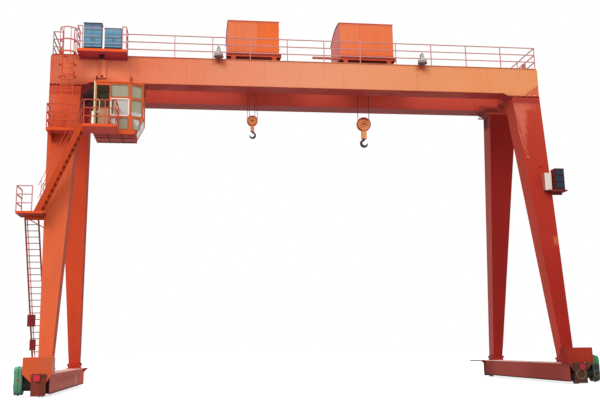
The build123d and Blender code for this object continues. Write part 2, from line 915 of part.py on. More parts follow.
wide_pane_share = 0.636
wide_pane_level = floor_level + wide_pane_share * cab_height
corner_middle = Vector((cab_corner_x + cab_right) / 2, (cab_front + cab_corner_y) / 2)
corner_run = Vector(cab_right - cab_corner_x, cab_corner_y - cab_front)
corner_normal = Vector(corner_run.Y, -corner_run.X).normalized()
cab_middle_y = (cab_corner_y + cab_back) / 2


def cab_plan(level, inset=0):
    """Return the plan of the cab at one level, moved inwards by the inset."""
    with BuildSketch(Plane.XY.offset(level)) as plan:
        with BuildLine():
            Polyline(
                (cab_left, cab_front),
                (cab_corner_x, cab_front),
                (cab_right, cab_corner_y),
                (cab_right, cab_back),
                (cab_left, cab_back),
                close=True,
            )
        make_face()
        if inset:
            offset(amount=-inset, kind=Kind.INTERSECTION)
    return plan.sketch


def window_sketches():
    """Return one rounded window sketch for each opening with its outward direction."""
    found = []
    front_x = (front_pane[0] + front_pane[1]) / 2
    back_x = (cab_left + cab_right) / 2
    for low_share, high_share, corner_wide in window_rows:
        middle_z = floor_level + cab_height * (low_share + high_share) / 2
        tall = cab_height * (high_share - low_share)
        front = Plane(origin=(front_x, cab_front, middle_z), x_dir=(1, 0, 0), z_dir=(0, -1, 0))
        corner = Plane(
            origin=(corner_middle.X, corner_middle.Y, middle_z),
            x_dir=corner_run,
            z_dir=corner_normal,
        )
        for where, wide in ((front, front_pane[1] - front_pane[0]), (corner, corner_wide)):
            with BuildSketch(where) as pane:
                RectangleRounded(wide, tall, window_radius)
            found.append(pane.sketch)
    side_wall = Plane(origin=(cab_right, cab_middle_y, wide_pane_level), x_dir=(0, 1, 0), z_dir=(1, 0, 0))
    back_wall = Plane(origin=(back_x, cab_back, wide_pane_level), x_dir=(-1, 0, 0), z_dir=(0, 1, 0))
    for where, size in ((side_wall, side_pane), (back_wall, back_pane)):
        with BuildSketch(where) as pane:
            RectangleRounded(*size, window_radius)
        found.append(pane.sketch)
    return found


windows = window_sketches()

with BuildPart() as cab_shell:
    extrude(cab_plan(floor_level), amount=cab_roof_level - floor_level)
    with BuildSketch(Plane.XZ.offset(-cab_back)) as slope:
        with BuildLine():
            Polyline(
                (cab_right, slope_top),
                (cab_right + cab_wall, slope_top),
                (cab_right + cab_wall, floor_level),
                (slope_foot_x, floor_level),
                close=True,
            )
        make_face()
    extrude(slope.sketch, amount=cab_back - cab_front, mode=Mode.SUBTRACT)
    open_faces = cab_shell.faces().filter_by(Axis.Z).sort_by(Axis.Z)
    offset(amount=-cab_wall, openings=[open_faces[0], open_faces[-1]])
    for window in windows:
        extrude(window, amount=cab_wall * 2, both=True, mode=Mode.SUBTRACT)
    add_box(door_opening[0], (cab_front, cab_front + cab_wall), door_opening[1], mode=Mode.SUBTRACT)
cab_shell.part.label = "cab_shell"
export_step(cab_shell.part, "parts/cab_shell.step")

pane_thickness = 10
with BuildPart() as cab_glass:
    for window in windows:
        normal = window.faces()[0].normal_at()
        pane = window.moved(Location(normal * (-(cab_wall + pane_thickness) / 2)))
        extrude(pane, amount=pane_thickness)
cab_glass.part.label = "cab_glass"
export_step(cab_glass.part, "parts/cab_glass.step")

with BuildPart() as cab_floor:
    with BuildSketch(Plane.XY.offset(floor_level - floor_slab)) as deck:
        with BuildLine():
            Polyline(
                (cab_left, cab_front),
                (slope_foot_x, cab_front),
                (slope_foot_x, cab_back),
                (cab_left, cab_back),
                close=True,
            )
        make_face()
    extrude(deck.sketch, amount=floor_slab)
cab_floor.part.label = "cab_floor"
export_step(cab_floor.part, "parts/cab_floor.step")

with BuildPart() as cab_roof:
    extrude(cab_plan(cab_roof_level, -40), amount=cab_roof_slab)
cab_roof.part.label = "cab_roof"
export_step(cab_roof.part, "parts/cab_roof.step")

# Hangers between the cab roof and the girder, and two lugs on the girder's face
hanger_size = 120
hanger_low = cab_roof_level + cab_roof_slab
hanger_xs = (cab_left + 2 * hanger_size, cab_right - 2 * hanger_size)
hanger_ys = (-girder_face + hanger_size, -girder_gap / 2 - hanger_size)
lug_pitch = 1570
lug_rise = 295
lug_xs = (cab_left, cab_left + lug_pitch)
lug_top = girder_bottom + lug_rise
with BuildPart() as cab_hangers:
    with Locations(*[(x, y, hanger_low) for x in hanger_xs for y in hanger_ys]):
        Box(hanger_size, hanger_size, girder_bottom - hanger_low, align=ON_BASE)
    for lug_x in lug_xs:
        add_box((lug_x - plate, lug_x + plate), (-girder_face - 80, -girder_face), (hanger_low, lug_top))
        add_box((lug_x - plate, lug_x + plate), (-girder_face, -web_face), (lug_top - 80, lug_top))
cab_hangers.part.label = "cab_hangers"
export_step(cab_hangers.part, "parts/cab_hangers.step")

# Door of the cab, open at a right angle, with its hinge pins
door_axis_x = door_left - 20
door_axis_y = cab_front - 32
door_width = 600
door_leaf = 40
door_low = floor_level + 50
door_high = cab_roof_level - 160
pin_radius = 10
pin_length = 30
with BuildPart() as cab_door:
    add_box(
        (door_axis_x - door_leaf / 2, door_axis_x + door_leaf / 2),
        (door_axis_y - door_width, door_axis_y),
        (door_low, door_high),
    )
    with Locations((door_axis_x, door_axis_y, door_low - pin_length)):
        Cylinder(pin_radius, door_high - door_low + 2 * pin_length, align=ON_BASE)
cab_door.part.label = "cab_door"
export_step(cab_door.part, "parts/cab_door.step")

knuckle = 60
with BuildPart() as door_knuckles:
    for low_z in (door_low - knuckle + 20, door_high + 8):
        add_box(
            (door_axis_x - knuckle / 2, door_axis_x + knuckle / 2),
            (door_axis_y - knuckle / 2, cab_front),
            (low_z, low_z + knuckle - 28),
        )
    with Locations((door_axis_x, door_axis_y, door_low - pin_length - 1)):
        Cylinder(
            pin_radius + axle_play,
            door_high - door_low + 2 * pin_length + 2,
            align=ON_BASE,
            mode=Mode.SUBTRACT,
        )
door_knuckles.part.label = "door_knuckles"
export_step(door_knuckles.part, "parts/door_knuckles.step")

# Floodlights on brackets at the girder's top edge
light_xs = (-4100, 5800)
light_reach = 260
light_rise = 470
light_y = -girder_face - light_reach
light_top = girder_top + light_rise
bell_radius = 225
bell_height = 500
with BuildPart() as floodlights:
    for light_x in light_xs:
        with BuildSketch(Plane(origin=(light_x, light_y, 0), x_dir=(1, 0, 0), z_dir=(0, -1, 0))) as bell:
            with BuildLine():
                Polyline(
                    (0, light_top),
                    (70, light_top),
                    (95, light_top - 140),
                    (bell_radius, light_top - bell_height),
                    (0, light_top - bell_height),
                    close=True,
                )
            make_face()
        revolve(bell.sketch, axis=Axis((light_x, light_y, 0), (0, 0, 1)))
floodlights.part.label = "floodlights"
export_step(floodlights.part, "parts/floodlights.step")

with BuildPart() as light_brackets:
    for light_x in light_xs:
        arm = (light_x - rail_bar, light_x + rail_bar)
        add_box(arm, (light_y - rail_bar, -girder_face), (light_top, light_top + rail_bar))
        add_box(arm, (-girder_face - plate, -girder_face), (girder_top - plate, light_top))
light_brackets.part.label = "light_brackets"
export_step(light_brackets.part, "parts/light_brackets.step")

# Shelf with a windowed cabinet outside the front right leg, and a pale box on the leg
shelf_level = 8820
shelf_thickness = 60
shelf_leg_x, shelf_leg_y = leg_edges(shelf_level)
shelf_x = (shelf_leg_x - 320, shelf_leg_x + 580)
shelf_y = (-shelf_leg_y - 420, -shelf_leg_y + 230)
shelf_beam = 80
window_box_x = (shelf_leg_x + 30, shelf_leg_x + 490)
window_box_y = (-shelf_leg_y - 370, -shelf_leg_y + 70)
window_box_height = 1030
pale_box_x = (shelf_leg_x - 410, shelf_leg_x - 80)
pale_box_y = (-shelf_leg_y - 220, -shelf_leg_y + 330)
pale_box_gap = 20
pale_box_height = 820

with BuildPart() as leg_shelf:
    add_box(shelf_x, shelf_y, (shelf_level - shelf_thickness, shelf_level))
    beam_level = shelf_level - shelf_thickness
    add_box(
        shelf_x,
        (shelf_y[1] - shelf_beam, shelf_y[1]),
        (beam_level - shelf_beam, beam_level),
    )
    add(front_right_leg.part, mode=Mode.SUBTRACT)
leg_shelf.part.label = "leg_shelf"
export_step(leg_shelf.part, "parts/leg_shelf.step")

with BuildPart() as leg_cabinet:
    add_box(window_box_x, window_box_y, (shelf_level, shelf_level + window_box_height))
leg_cabinet.part.label = "leg_cabinet"
export_step(leg_cabinet.part, "parts/leg_cabinet.step")

with BuildPart() as leg_box:
    pale_box_low = shelf_level + pale_box_gap
    add_box(pale_box_x, pale_box_y, (pale_box_low, pale_box_low + pale_box_height))
    add(front_right_leg.part, mode=Mode.SUBTRACT)
leg_box.part.label = "leg_box"
export_step(leg_box.part, "parts/leg_box.step")

# Trolleys: running frame, wheels and head sheaves, machine house, ropes, hook block and hook
sill_width = 160
sill_depth = 160
house_floor = 15830
house_depth = trolley_gauge + 100
crown_y = 180
crown_rise = 90
rear_drop = 310
roof_lip = 30
roof_sheet_thickness = 25
trolley_wheel_radius = 150
trolley_wheel_width = 50
trolley_wheel_inset = 250
carrier_width = 220
carrier_plate = 40
carrier_gap = 80
beam_offset = 120
beam_thickness = 100
head_drop = 300
head_cheek = 80
head_cheek_low = 80
sheave_width = 40
sheave_y = 30
sheave_axle = 45
rope_radius = 12
rope_play = 0.3
block_cheek = 30
block_inner_y = 60
arm_y = 1270
arm_size = 100
arm_drop = 50
swivel_play = 0.3

# Thickness of the forged hook as it turns from the shank round to the point
hook_sections = {0: 1.05, 40: 1.0, 80: 1.1, 120: 1.25, 155: 1.3, 190: 1.15, 225: 0.85, 250: 0.6, 270: 0.4}
hook_flatness = 0.85

trolleys = {
    "trolley_1": {
        "x": -2360,
        "house_length": 2480,
        "wall": 1680,
        "block_radius": 260,
        "front_sheave": 235,
        "rear_sheave": 127,
        "block_z": 12810,
        "neck": 85,
        "neck_length": 280,
        "hook_ring": 135,
        "hook_bar": 42,
        "open_side": -1,
        "tow_arm": 0,
    },
    "trolley_2": {
        "x": 3270,
        "house_length": 2690,
        "wall": 1765,
        "block_radius": 355,
        "front_sheave": 272,
        "rear_sheave": 272,
        "block_z": 12755,
        "neck": 120,
        "neck_length": 400,
        "hook_ring": 160,
        "hook_bar": 55,
        "open_side": 1,
        "tow_arm": 1300,
    },
}

for name, size in trolleys.items():
    middle_x = size["x"]
    half_house = size["house_length"] / 2
    half_frame = half_house + 100
    block_z = size["block_z"]
    frame_low = house_floor - sill_depth
    frame_zone = (frame_low, house_floor)
    wheel_xs = [middle_x + end * (half_house - trolley_wheel_inset) for end in (-1, 1)]
    wheel_z = trolley_rail_top + trolley_wheel_radius
    head_z = house_floor - head_drop
    sheaves = ((-sheave_y, size["front_sheave"]), (sheave_y, size["rear_sheave"]))

    with BuildPart() as frame:
        for side in (-1, 1):
            sill_y = side * trolley_gauge / 2
            add_box(
                (middle_x - half_frame, middle_x + half_frame),
                (sill_y - sill_width / 2, sill_y + sill_width / 2),
                frame_zone,
            )
            for carrier_x in wheel_xs:
                for cheek in (-1, 1):
                    cheek_near = sill_y + cheek * carrier_gap / 2
                    add_box(
                        (carrier_x - carrier_width / 2, carrier_x + carrier_width / 2),
                        (cheek_near, cheek_near + cheek * carrier_plate),
                        (wheel_z - carrier_plate, frame_low),
                    )
            beam_near = side * beam_offset
            add_box(
                (middle_x - half_house, middle_x + half_house),
                (beam_near, beam_near + side * beam_thickness),
                frame_zone,
            )
            add_box(
                (middle_x - head_cheek, middle_x + head_cheek),
                (beam_near, beam_near + side * plate),
                (head_z - head_cheek_low, frame_low),
            )
        for end in (-1, 1):
            cross_x = middle_x + end * half_house
            add_box(
                (cross_x - sill_width / 2, cross_x + sill_width / 2),
                (-trolley_gauge / 2, trolley_gauge / 2),
                frame_zone,
            )
        if size["tow_arm"]:
            arm_high = house_floor - arm_drop
            add_box(
                (middle_x - half_frame - size["tow_arm"], middle_x - half_frame),
                (-arm_y - arm_size / 2, -arm_y + arm_size / 2),
                (arm_high - arm_size, arm_high),
            )
    frame.part.label = f"{name}_frame"
    export_step(frame.part, f"parts/{name}_frame.step")

    with BuildPart() as gear:
        for side in (-1, 1):
            for wheel_at in wheel_xs:
                axle_place = (wheel_at, side * trolley_gauge / 2, wheel_z)
                with Locations(Location(axle_place, (90, 0, 0))):
                    Cylinder(trolley_wheel_radius, trolley_wheel_width)
                    Cylinder(rail_bar, carrier_gap)
        for disc_y, disc_radius in sheaves:
            with Locations(Location((middle_x, disc_y, head_z), (90, 0, 0))):
                Cylinder(disc_radius, sheave_width)
        with Locations(Location((middle_x, 0, head_z), (90, 0, 0))):
            Cylinder(sheave_axle, 2 * beam_offset)
    gear.part.label = f"{name}_gear"
    export_step(gear.part, f"parts/{name}_gear.step")

    with BuildPart() as house:
        eave = house_floor + size["wall"]
        gable_plane = Plane(origin=(middle_x - half_house, 0, 0), x_dir=(0, 1, 0), z_dir=(1, 0, 0))
        with BuildSketch(gable_plane) as gable:
            with BuildLine():
                Polyline(
                    (house_depth / 2, eave - rear_drop),
                    (house_depth / 2, house_floor),
                    (-house_depth / 2, house_floor),
                    (-house_depth / 2, eave),
                )
                ThreePointArc(
                    (-house_depth / 2, eave),
                    (crown_y, eave + crown_rise),
                    (house_depth / 2, eave - rear_drop),
                )
            make_face()
        extrude(gable.sketch, amount=size["house_length"])
        with BuildSketch(gable_plane.offset(-roof_lip)) as roof_sheet:
            with BuildLine():
                lower = ThreePointArc(
                    (-house_depth / 2, eave),
                    (crown_y, eave + crown_rise),
                    (house_depth / 2, eave - rear_drop),
                )
                upper = ThreePointArc(
                    (-house_depth / 2, eave + roof_sheet_thickness),
                    (crown_y, eave + crown_rise + roof_sheet_thickness),
                    (house_depth / 2, eave - rear_drop + roof_sheet_thickness),
                )
                Line(lower @ 0, upper @ 0)
                Line(lower @ 1, upper @ 1)
            make_face()
        extrude(roof_sheet.sketch, amount=size["house_length"] + 2 * roof_lip)
    house.part.label = f"{name}_house"
    export_step(house.part, f"parts/{name}_house.step")

    with BuildPart() as ropes:
        for rope_y, disc_radius in sheaves:
            rope_offset = disc_radius + rope_radius + rope_play
            with Locations(*[(middle_x + side * rope_offset, rope_y, block_z) for side in (-1, 1)]):
                Cylinder(rope_radius, head_z - block_z, align=ON_BASE)
    ropes.part.label = f"{name}_ropes"
    export_step(ropes.part, f"parts/{name}_ropes.step")

    neck = size["neck"]
    neck_low = block_z - size["block_radius"] - size["neck_length"]
    with BuildPart() as block:
        for side in (-1, 1):
            cheek_y = side * (block_inner_y + block_cheek / 2)
            with Locations(Location((middle_x, cheek_y, block_z), (90, 0, 0))):
                Cylinder(size["block_radius"], block_cheek)
        for disc_y, disc_radius in sheaves:
            with Locations(Location((middle_x, disc_y, block_z), (90, 0, 0))):
                Cylinder(disc_radius, sheave_width)
        with Locations(Location((middle_x, 0, block_z), (90, 0, 0))):
            Cylinder(sheave_axle, 2 * (block_inner_y + block_cheek) + plate)
        cheek_face = block_inner_y + block_cheek
        add_box(
            (middle_x - neck, middle_x + neck),
            (-cheek_face, cheek_face),
            (neck_low, block_z - size["front_sheave"] - plate),
        )
        with Locations((middle_x, 0, neck_low)):
            Cylinder(
                size["hook_bar"] + swivel_play, neck / 2 + swivel_play, align=ON_BASE, mode=Mode.SUBTRACT
            )
    block.part.label = f"{name}_block"
    export_step(block.part, f"parts/{name}_block.step")

    ring = size["hook_ring"]
    bar = size["hook_bar"]
    shank_length = 1.3 * bar
    ring_z = neck_low - shank_length - ring
    with BuildPart() as hook:
        with Locations((middle_x, 0, ring_z + ring)):
            Cylinder(bar, shank_length + neck / 2, align=ON_BASE)
        for turn, thickness in hook_sections.items():
            lean = math.radians(turn)
            out = Vector(-size["open_side"] * math.sin(lean), 0, math.cos(lean))
            onward = Vector(-size["open_side"] * math.cos(lean), 0, -math.sin(lean))
            place = Vector(middle_x, 0, ring_z) + out * ring
            with BuildSketch(Plane(origin=place, x_dir=(0, 1, 0), z_dir=onward)):
                Ellipse(bar * thickness * hook_flatness, bar * thickness)
        loft()
    hook.part.label = f"{name}_hook"
    export_step(hook.part, f"parts/{name}_hook.step")
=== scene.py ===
"""Looks of a double-girder gantry crane: paint, wear, fittings, camera and light round the CAD frame."""

from __future__ import annotations

import logging
import math
from dataclasses import dataclass
from enum import Enum
from typing import Iterable, Sequence

import bmesh
import bpy
from mathutils import Matrix, Vector


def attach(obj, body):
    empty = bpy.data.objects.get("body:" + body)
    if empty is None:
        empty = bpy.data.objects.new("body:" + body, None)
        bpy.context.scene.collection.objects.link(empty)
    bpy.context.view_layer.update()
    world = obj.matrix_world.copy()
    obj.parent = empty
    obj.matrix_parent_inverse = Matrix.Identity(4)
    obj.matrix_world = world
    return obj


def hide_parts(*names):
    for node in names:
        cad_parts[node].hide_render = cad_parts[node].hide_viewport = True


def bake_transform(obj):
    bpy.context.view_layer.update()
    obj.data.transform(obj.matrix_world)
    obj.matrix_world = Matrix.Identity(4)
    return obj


LOG = logging.getLogger("gantry_crane")
IMAGE_WIDTH = 600
SENSOR_WIDTH = 36.0
FRAME_BODY = "crane_frame"

FLOAT = "NodeSocketFloat"
COLOUR = "NodeSocketColor"
VECTOR = "NodeSocketVector"
GEOMETRY = "NodeSocketGeometry"
MATERIAL = "NodeSocketMaterial"
WHITE = (1, 1, 1, 1)
SIDES = (-1, 1)
X_AXIS = Vector((1, 0, 0))
Y_AXIS = Vector((0, 1, 0))
Z_AXIS = Vector((0, 0, 1))

Rgb = tuple[int, int, int]
Point = tuple[float, float, float]
Span = tuple[float, float]
Socket = bpy.types.NodeSocket
Sockets = bpy.types.bpy_prop_collection
Tree = bpy.types.NodeTree


class Facing(Enum):
    """Directions that bolt heads look in."""

    FRONT = (0.0, -1.0, 0.0)
    BACK = (0.0, 1.0, 0.0)
    UP = (0.0, 0.0, 1.0)


class Along(Enum):
    """Axis that a run of colours follows."""

    X = 0
    Z = 2


def linear(colour: Rgb) -> tuple[float, float, float, float]:
    """Turn an sRGB colour of 0 to 255 into the linear colour that Blender's sockets take.

    Args:
        colour: red, green and blue from 0 to 255.

    Returns:
        The linear colour with an alpha of one.
    """
    shares = [value / 255 for value in colour]
    bent = [s / 12.92 if s <= 0.04045 else ((s + 0.055) / 1.055) ** 2.4 for s in shares]
    return bent[0], bent[1], bent[2], 1.0


def span(first: float, second: float, side: int = 1) -> Span:
    """Give a range in rising order, mirrored where the side is -1."""
    return tuple(sorted((side * first, side * second)))


class NodeSheet:
    """A small hand for wiring one node tree."""

    def __init__(self, tree: Tree) -> None:
        """Start on an empty tree."""
        self.tree = tree
        tree.nodes.clear()

    def add(self, kind: str, **values: object) -> bpy.types.Node:
        """Add a node, set its properties, and set or link its inputs.

        Args:
            kind: the node's type name.
            values: properties by name, and inputs under "i_" and the socket's name or number.

        Returns:
            The new node.
        """
        node = self.tree.nodes.new(kind)
        inputs = {key[2:]: value for key, value in values.items() if key.startswith("i_")}
        for key, value in values.items():
            if not key.startswith("i_"):
                setattr(node, key, value)
        for key, value in inputs.items():
            socket = node.inputs[int(key)] if key.isdigit() else node.inputs[key.replace("_", " ")]
            if isinstance(value, bpy.types.NodeSocket):
                self.tree.links.new(value, socket)
            else:
                socket.default_value = value
        return node

    def math(self, operation: str, first: object, second: object = 0.0) -> Socket:
        """Add a Math node and give its result."""
        return self.add("ShaderNodeMath", operation=operation, i_0=first, i_1=second).outputs[0]

    def vector(self, operation: str, **inputs: object) -> Socket:
        """Add a Vector Math node and give its result."""
        return self.add("ShaderNodeVectorMath", operation=operation, **inputs).outputs[0]

    def axes(self, place: object) -> Sockets:
        """Split a vector and give its three numbers."""
        return self.add("ShaderNodeSeparateXYZ", i_0=place).outputs

    def mix(self, share: object, first: object, second: object) -> Socket:
        """Mix two colours and give the result."""
        return self.add("ShaderNodeMix", data_type="RGBA", i_0=share, i_6=first, i_7=second).outputs[2]

    def noise(self, place: object, scale: object, detail: float, **more: object) -> Socket:
        """Add a noise texture and give its value."""
        values = {"i_Vector": place, "i_Scale": scale, "i_Detail": detail, **more}
        return self.add("ShaderNodeTexNoise", **values).outputs[0]

    def remap(
        self, value: object, low: object, high: object, first: float = 0.0, last: float = 1.0
    ) -> Socket:
        """Carry the range from low to high over to the range from first to last."""
        return self.add("ShaderNodeMapRange", i_0=value, i_1=low, i_2=high, i_3=first, i_4=last).outputs[0]

    def group(self, tree: Tree, **inputs: object) -> Sockets:
        """Place a shared group and give its outputs."""
        return self.add("ShaderNodeGroup", node_tree=tree, **inputs).outputs

    def ramp(self, value: object, stops: Sequence[tuple[float, Sequence[float]]]) -> Socket:
        """Turn a value into a colour by a ramp.

        Args:
            value: the socket that drives the ramp.
            stops: position and linear colour of each stop.

        Returns:
            The ramp's colour socket.
        """
        node = self.add("ShaderNodeValToRGB", i_0=value)
        elements = node.color_ramp.elements
        while len(elements) < len(stops):
            elements.new(0.5)
        for element, (place, colour) in zip(elements, stops):
            element.position = place
            element.color = colour
        return node.outputs[0]

    def plain_rays(self) -> Socket:
        """Tell the rays that show a surface as it is from the rays that light others.

        Returns:
            One for a ray that shows a surface, zero for a ray that lights one.
        """
        rays = self.add("ShaderNodeLightPath").outputs
        shown = self.math("MAXIMUM", rays["Is Camera Ray"], rays["Is Glossy Ray"])
        return self.math("MAXIMUM", shown, rays["Is Transmission Ray"])


def open_group(
    name: str, kind: str, inputs: dict[str, tuple], outputs: dict[str, str]
) -> tuple[NodeSheet, Sockets]:
    """Make a node group with named sockets.

    Args:
        name: the group's name.
        kind: the tree type.
        inputs: socket type and default value, or None, by name.
        outputs: socket type by name.

    Returns:
        The sheet of the new group, and the sockets of its inputs.
    """
    tree = bpy.data.node_groups.new(name, kind)
    for label, (socket_type, default) in inputs.items():
        socket = tree.interface.new_socket(name=label, in_out="INPUT", socket_type=socket_type)
        if default is not None:
            socket.default_value = default
    for label, socket_type in outputs.items():
        tree.interface.new_socket(name=label, in_out="OUTPUT", socket_type=socket_type)
    sheet = NodeSheet(tree)
    return sheet, sheet.add("NodeGroupInput").outputs


def open_material(name: str) -> tuple[bpy.types.Material, NodeSheet]:
    """Start a material.

    Args:
        name: the material's name.

    Returns:
        The material and the sheet of its nodes.
    """
    made = bpy.data.materials.new(name)
    made.use_nodes = True
    return made, NodeSheet(made.node_tree)


ALL = ("Front", "Side", "Under", "Top")
SIDE = ("Side",)
UNDER = ("Under",)


class SharedEffects:
    """Shader node groups that several finishes share, each built once."""

    sideways = 0.75
    level = 0.6

    def __init__(self) -> None:
        """Build the groups."""
        self.weather = self._weather()
        self.facing = self._facing()
        self.patch = self._patch()

    def _facing(self) -> Tree:
        """Build the group that gives upright, sideways, downward and upward faces their own tone, which
        paints light and shade by how each face meets the light.

        Returns:
            The group, with one colour output.
        """
        tones = {label: (COLOUR, WHITE) for label in ALL}
        sheet, given = open_group("painted_light_and_shade_by_facing", "ShaderNodeTree", tones, {"Color": COLOUR})
        axes = sheet.axes(sheet.add("ShaderNodeNewGeometry").outputs["Normal"])
        masks = {
            "Side": sheet.math("GREATER_THAN", sheet.math("ABSOLUTE", axes[0]), self.sideways),
            "Under": sheet.math("LESS_THAN", axes[2], -self.level),
            "Top": sheet.math("GREATER_THAN", axes[2], self.level),
        }
        tone = given["Front"]
        for label, mask in masks.items():
            tone = sheet.mix(mask, tone, given[label])
        sheet.add("NodeGroupOutput", i_Color=tone)
        return sheet.tree

    @staticmethod
    def _patch() -> Tree:
        """Build the group that marks a turned box or wedge of the paint.

        Returns:
            The group, whose mask is one inside and zero outside.
        """
        inputs = {
            "Place": (VECTOR, None),
            "Centre": (VECTOR, (0, 0, 0)),
            "Turn": (VECTOR, (0, 0, 0)),
            "Reach": (VECTOR, (1, 1, 1)),
            "Edge": (FLOAT, 0.1),
            "Taper": (FLOAT, 0.0),
            "Torn": (FLOAT, 0.0),
        }
        sheet, given = open_group("paint_patch", "ShaderNodeTree", inputs, {"Mask": FLOAT})
        moved = sheet.vector("SUBTRACT", i_0=given["Place"], i_1=given["Centre"])
        turn = {"rotation_type": "EULER_XYZ", "i_Rotation": given["Turn"]}
        turned = sheet.add("ShaderNodeVectorRotate", i_Vector=moved, **turn).outputs[0]
        scaled = sheet.vector("DIVIDE", i_0=turned, i_1=given["Reach"])
        level = sheet.axes(scaled)[2]
        axes = sheet.axes(sheet.vector("ABSOLUTE", i_0=scaled))
        narrowing = sheet.math("MULTIPLY", sheet.math("SUBTRACT", 1.0, level), 0.5)
        across = sheet.math("ADD", axes[0], sheet.math("MULTIPLY", narrowing, given["Taper"]))
        far = sheet.math("MAXIMUM", sheet.math("MAXIMUM", across, axes[1]), axes[2])
        noise = sheet.noise(given["Place"], scale=5.0, detail=3.0)
        torn = sheet.math("MULTIPLY", sheet.math("SUBTRACT", noise, 0.5), given["Torn"])
        inner = sheet.math("SUBTRACT", 1.0, given["Edge"])
        mask = sheet.remap(sheet.math("ADD", far, torn), inner, 1.0, first=1.0, last=0.0)
        sheet.add("NodeGroupOutput", i_Mask=mask)
        return sheet.tree

    @staticmethod
    def _weather() -> Tree:
        """Build the group that weathers a coat: faded patches, streaks that run down, and specks.

        Returns:
            The group, with a colour, a roughness and a height output.
        """
        inputs = {
            "Place": (VECTOR, None),
            "Coat": (COLOUR, WHITE),
            "Faded": (COLOUR, WHITE),
            "Grime": (COLOUR, (0, 0, 0, 1)),
            "Fading": (FLOAT, 0.5),
            "Streaks": (FLOAT, 0.3),
            "Specks": (FLOAT, 0.2),
            "Patch Size": (FLOAT, 1.0),
            "Gloss": (FLOAT, 0.5),
        }
        outputs = {"Color": COLOUR, "Roughness": FLOAT, "Height": FLOAT}
        sheet, given = open_group("weathered_coat", "ShaderNodeTree", inputs, outputs)
        place = given["Place"]
        drawn_down = sheet.add("ShaderNodeMapping", i_Vector=place, i_Scale=(1.6, 1.6, 0.3)).outputs[0]
        coarse = sheet.math("DIVIDE", 0.8, given["Patch Size"])
        patches = sheet.noise(place, coarse, detail=4.0, i_Roughness=0.55)
        runs = sheet.noise(drawn_down, scale=1.6, detail=5.0)
        fine = sheet.noise(place, scale=14.0, detail=6.0)
        specks = sheet.remap(fine, 0.62, 0.7)
        layers = (
            (sheet.remap(patches, 0.42, 0.66), "Fading", "Faded"),
            (sheet.remap(runs, 0.5, 0.72), "Streaks", "Grime"),
            (specks, "Specks", "Grime"),
        )
        tone = given["Coat"]
        for mask, strength, colour in layers:
            tone = sheet.mix(sheet.math("MULTIPLY", mask, given[strength]), tone, given[colour])
        rough = sheet.math("ADD", given["Gloss"], sheet.math("MULTIPLY", patches, 0.22))
        rough = sheet.math("ADD", rough, sheet.math("MULTIPLY", specks, 0.15))
        height = sheet.math("ADD", fine, sheet.math("MULTIPLY", patches, 0.6))
        sheet.add("NodeGroupOutput", i_Color=tone, i_Roughness=rough, i_Height=height)
        return sheet.tree


@dataclass(frozen=True)
class Blend:
    """A run of colours along one axis of the crane, in metres."""

    along: Along
    start: float
    end: float
    stops: tuple[tuple[float, Rgb], ...]

    def tone(self, sheet: NodeSheet, place: Socket) -> Socket:
        """Wire the run and give its colour."""
        share = sheet.remap(sheet.axes(place)[self.along.value], self.start, self.end)
        return sheet.ramp(share, [(at, linear(colour)) for at, colour in self.stops])


@dataclass(frozen=True)
class Patch:
    """A turned box, or a wedge that narrows downwards, with another colour; in metres and degrees."""

    colour: Rgb
    centre: Point
    reach: Point
    turn: float = 0.0
    edge: float = 0.1
    taper: float = 0.0
    torn: float = 0.0
    share: float = 1.0
    tones: tuple[str, ...] = ("Front",)

    def mask(
        self, sheet: NodeSheet, place: Socket, effects: SharedEffects
    ) -> Socket:
        """Wire the patch's mask.

        Args:
            sheet: the material's sheet.
            place: the socket of Object coordinates.
            effects: the shared node groups.

        Returns:
            The mask, which is the patch's share inside and zero outside.
        """
        turn = (0.0, math.radians(self.turn), 0.0)
        shape = {"i_Centre": self.centre, "i_Turn": turn, "i_Reach": self.reach}
        rim = {"i_Edge": self.edge, "i_Taper": self.taper, "i_Torn": self.torn}
        marked = sheet.group(effects.patch, i_Place=place, **shape, **rim)[0]
        return sheet.math("MULTIPLY", marked, self.share)


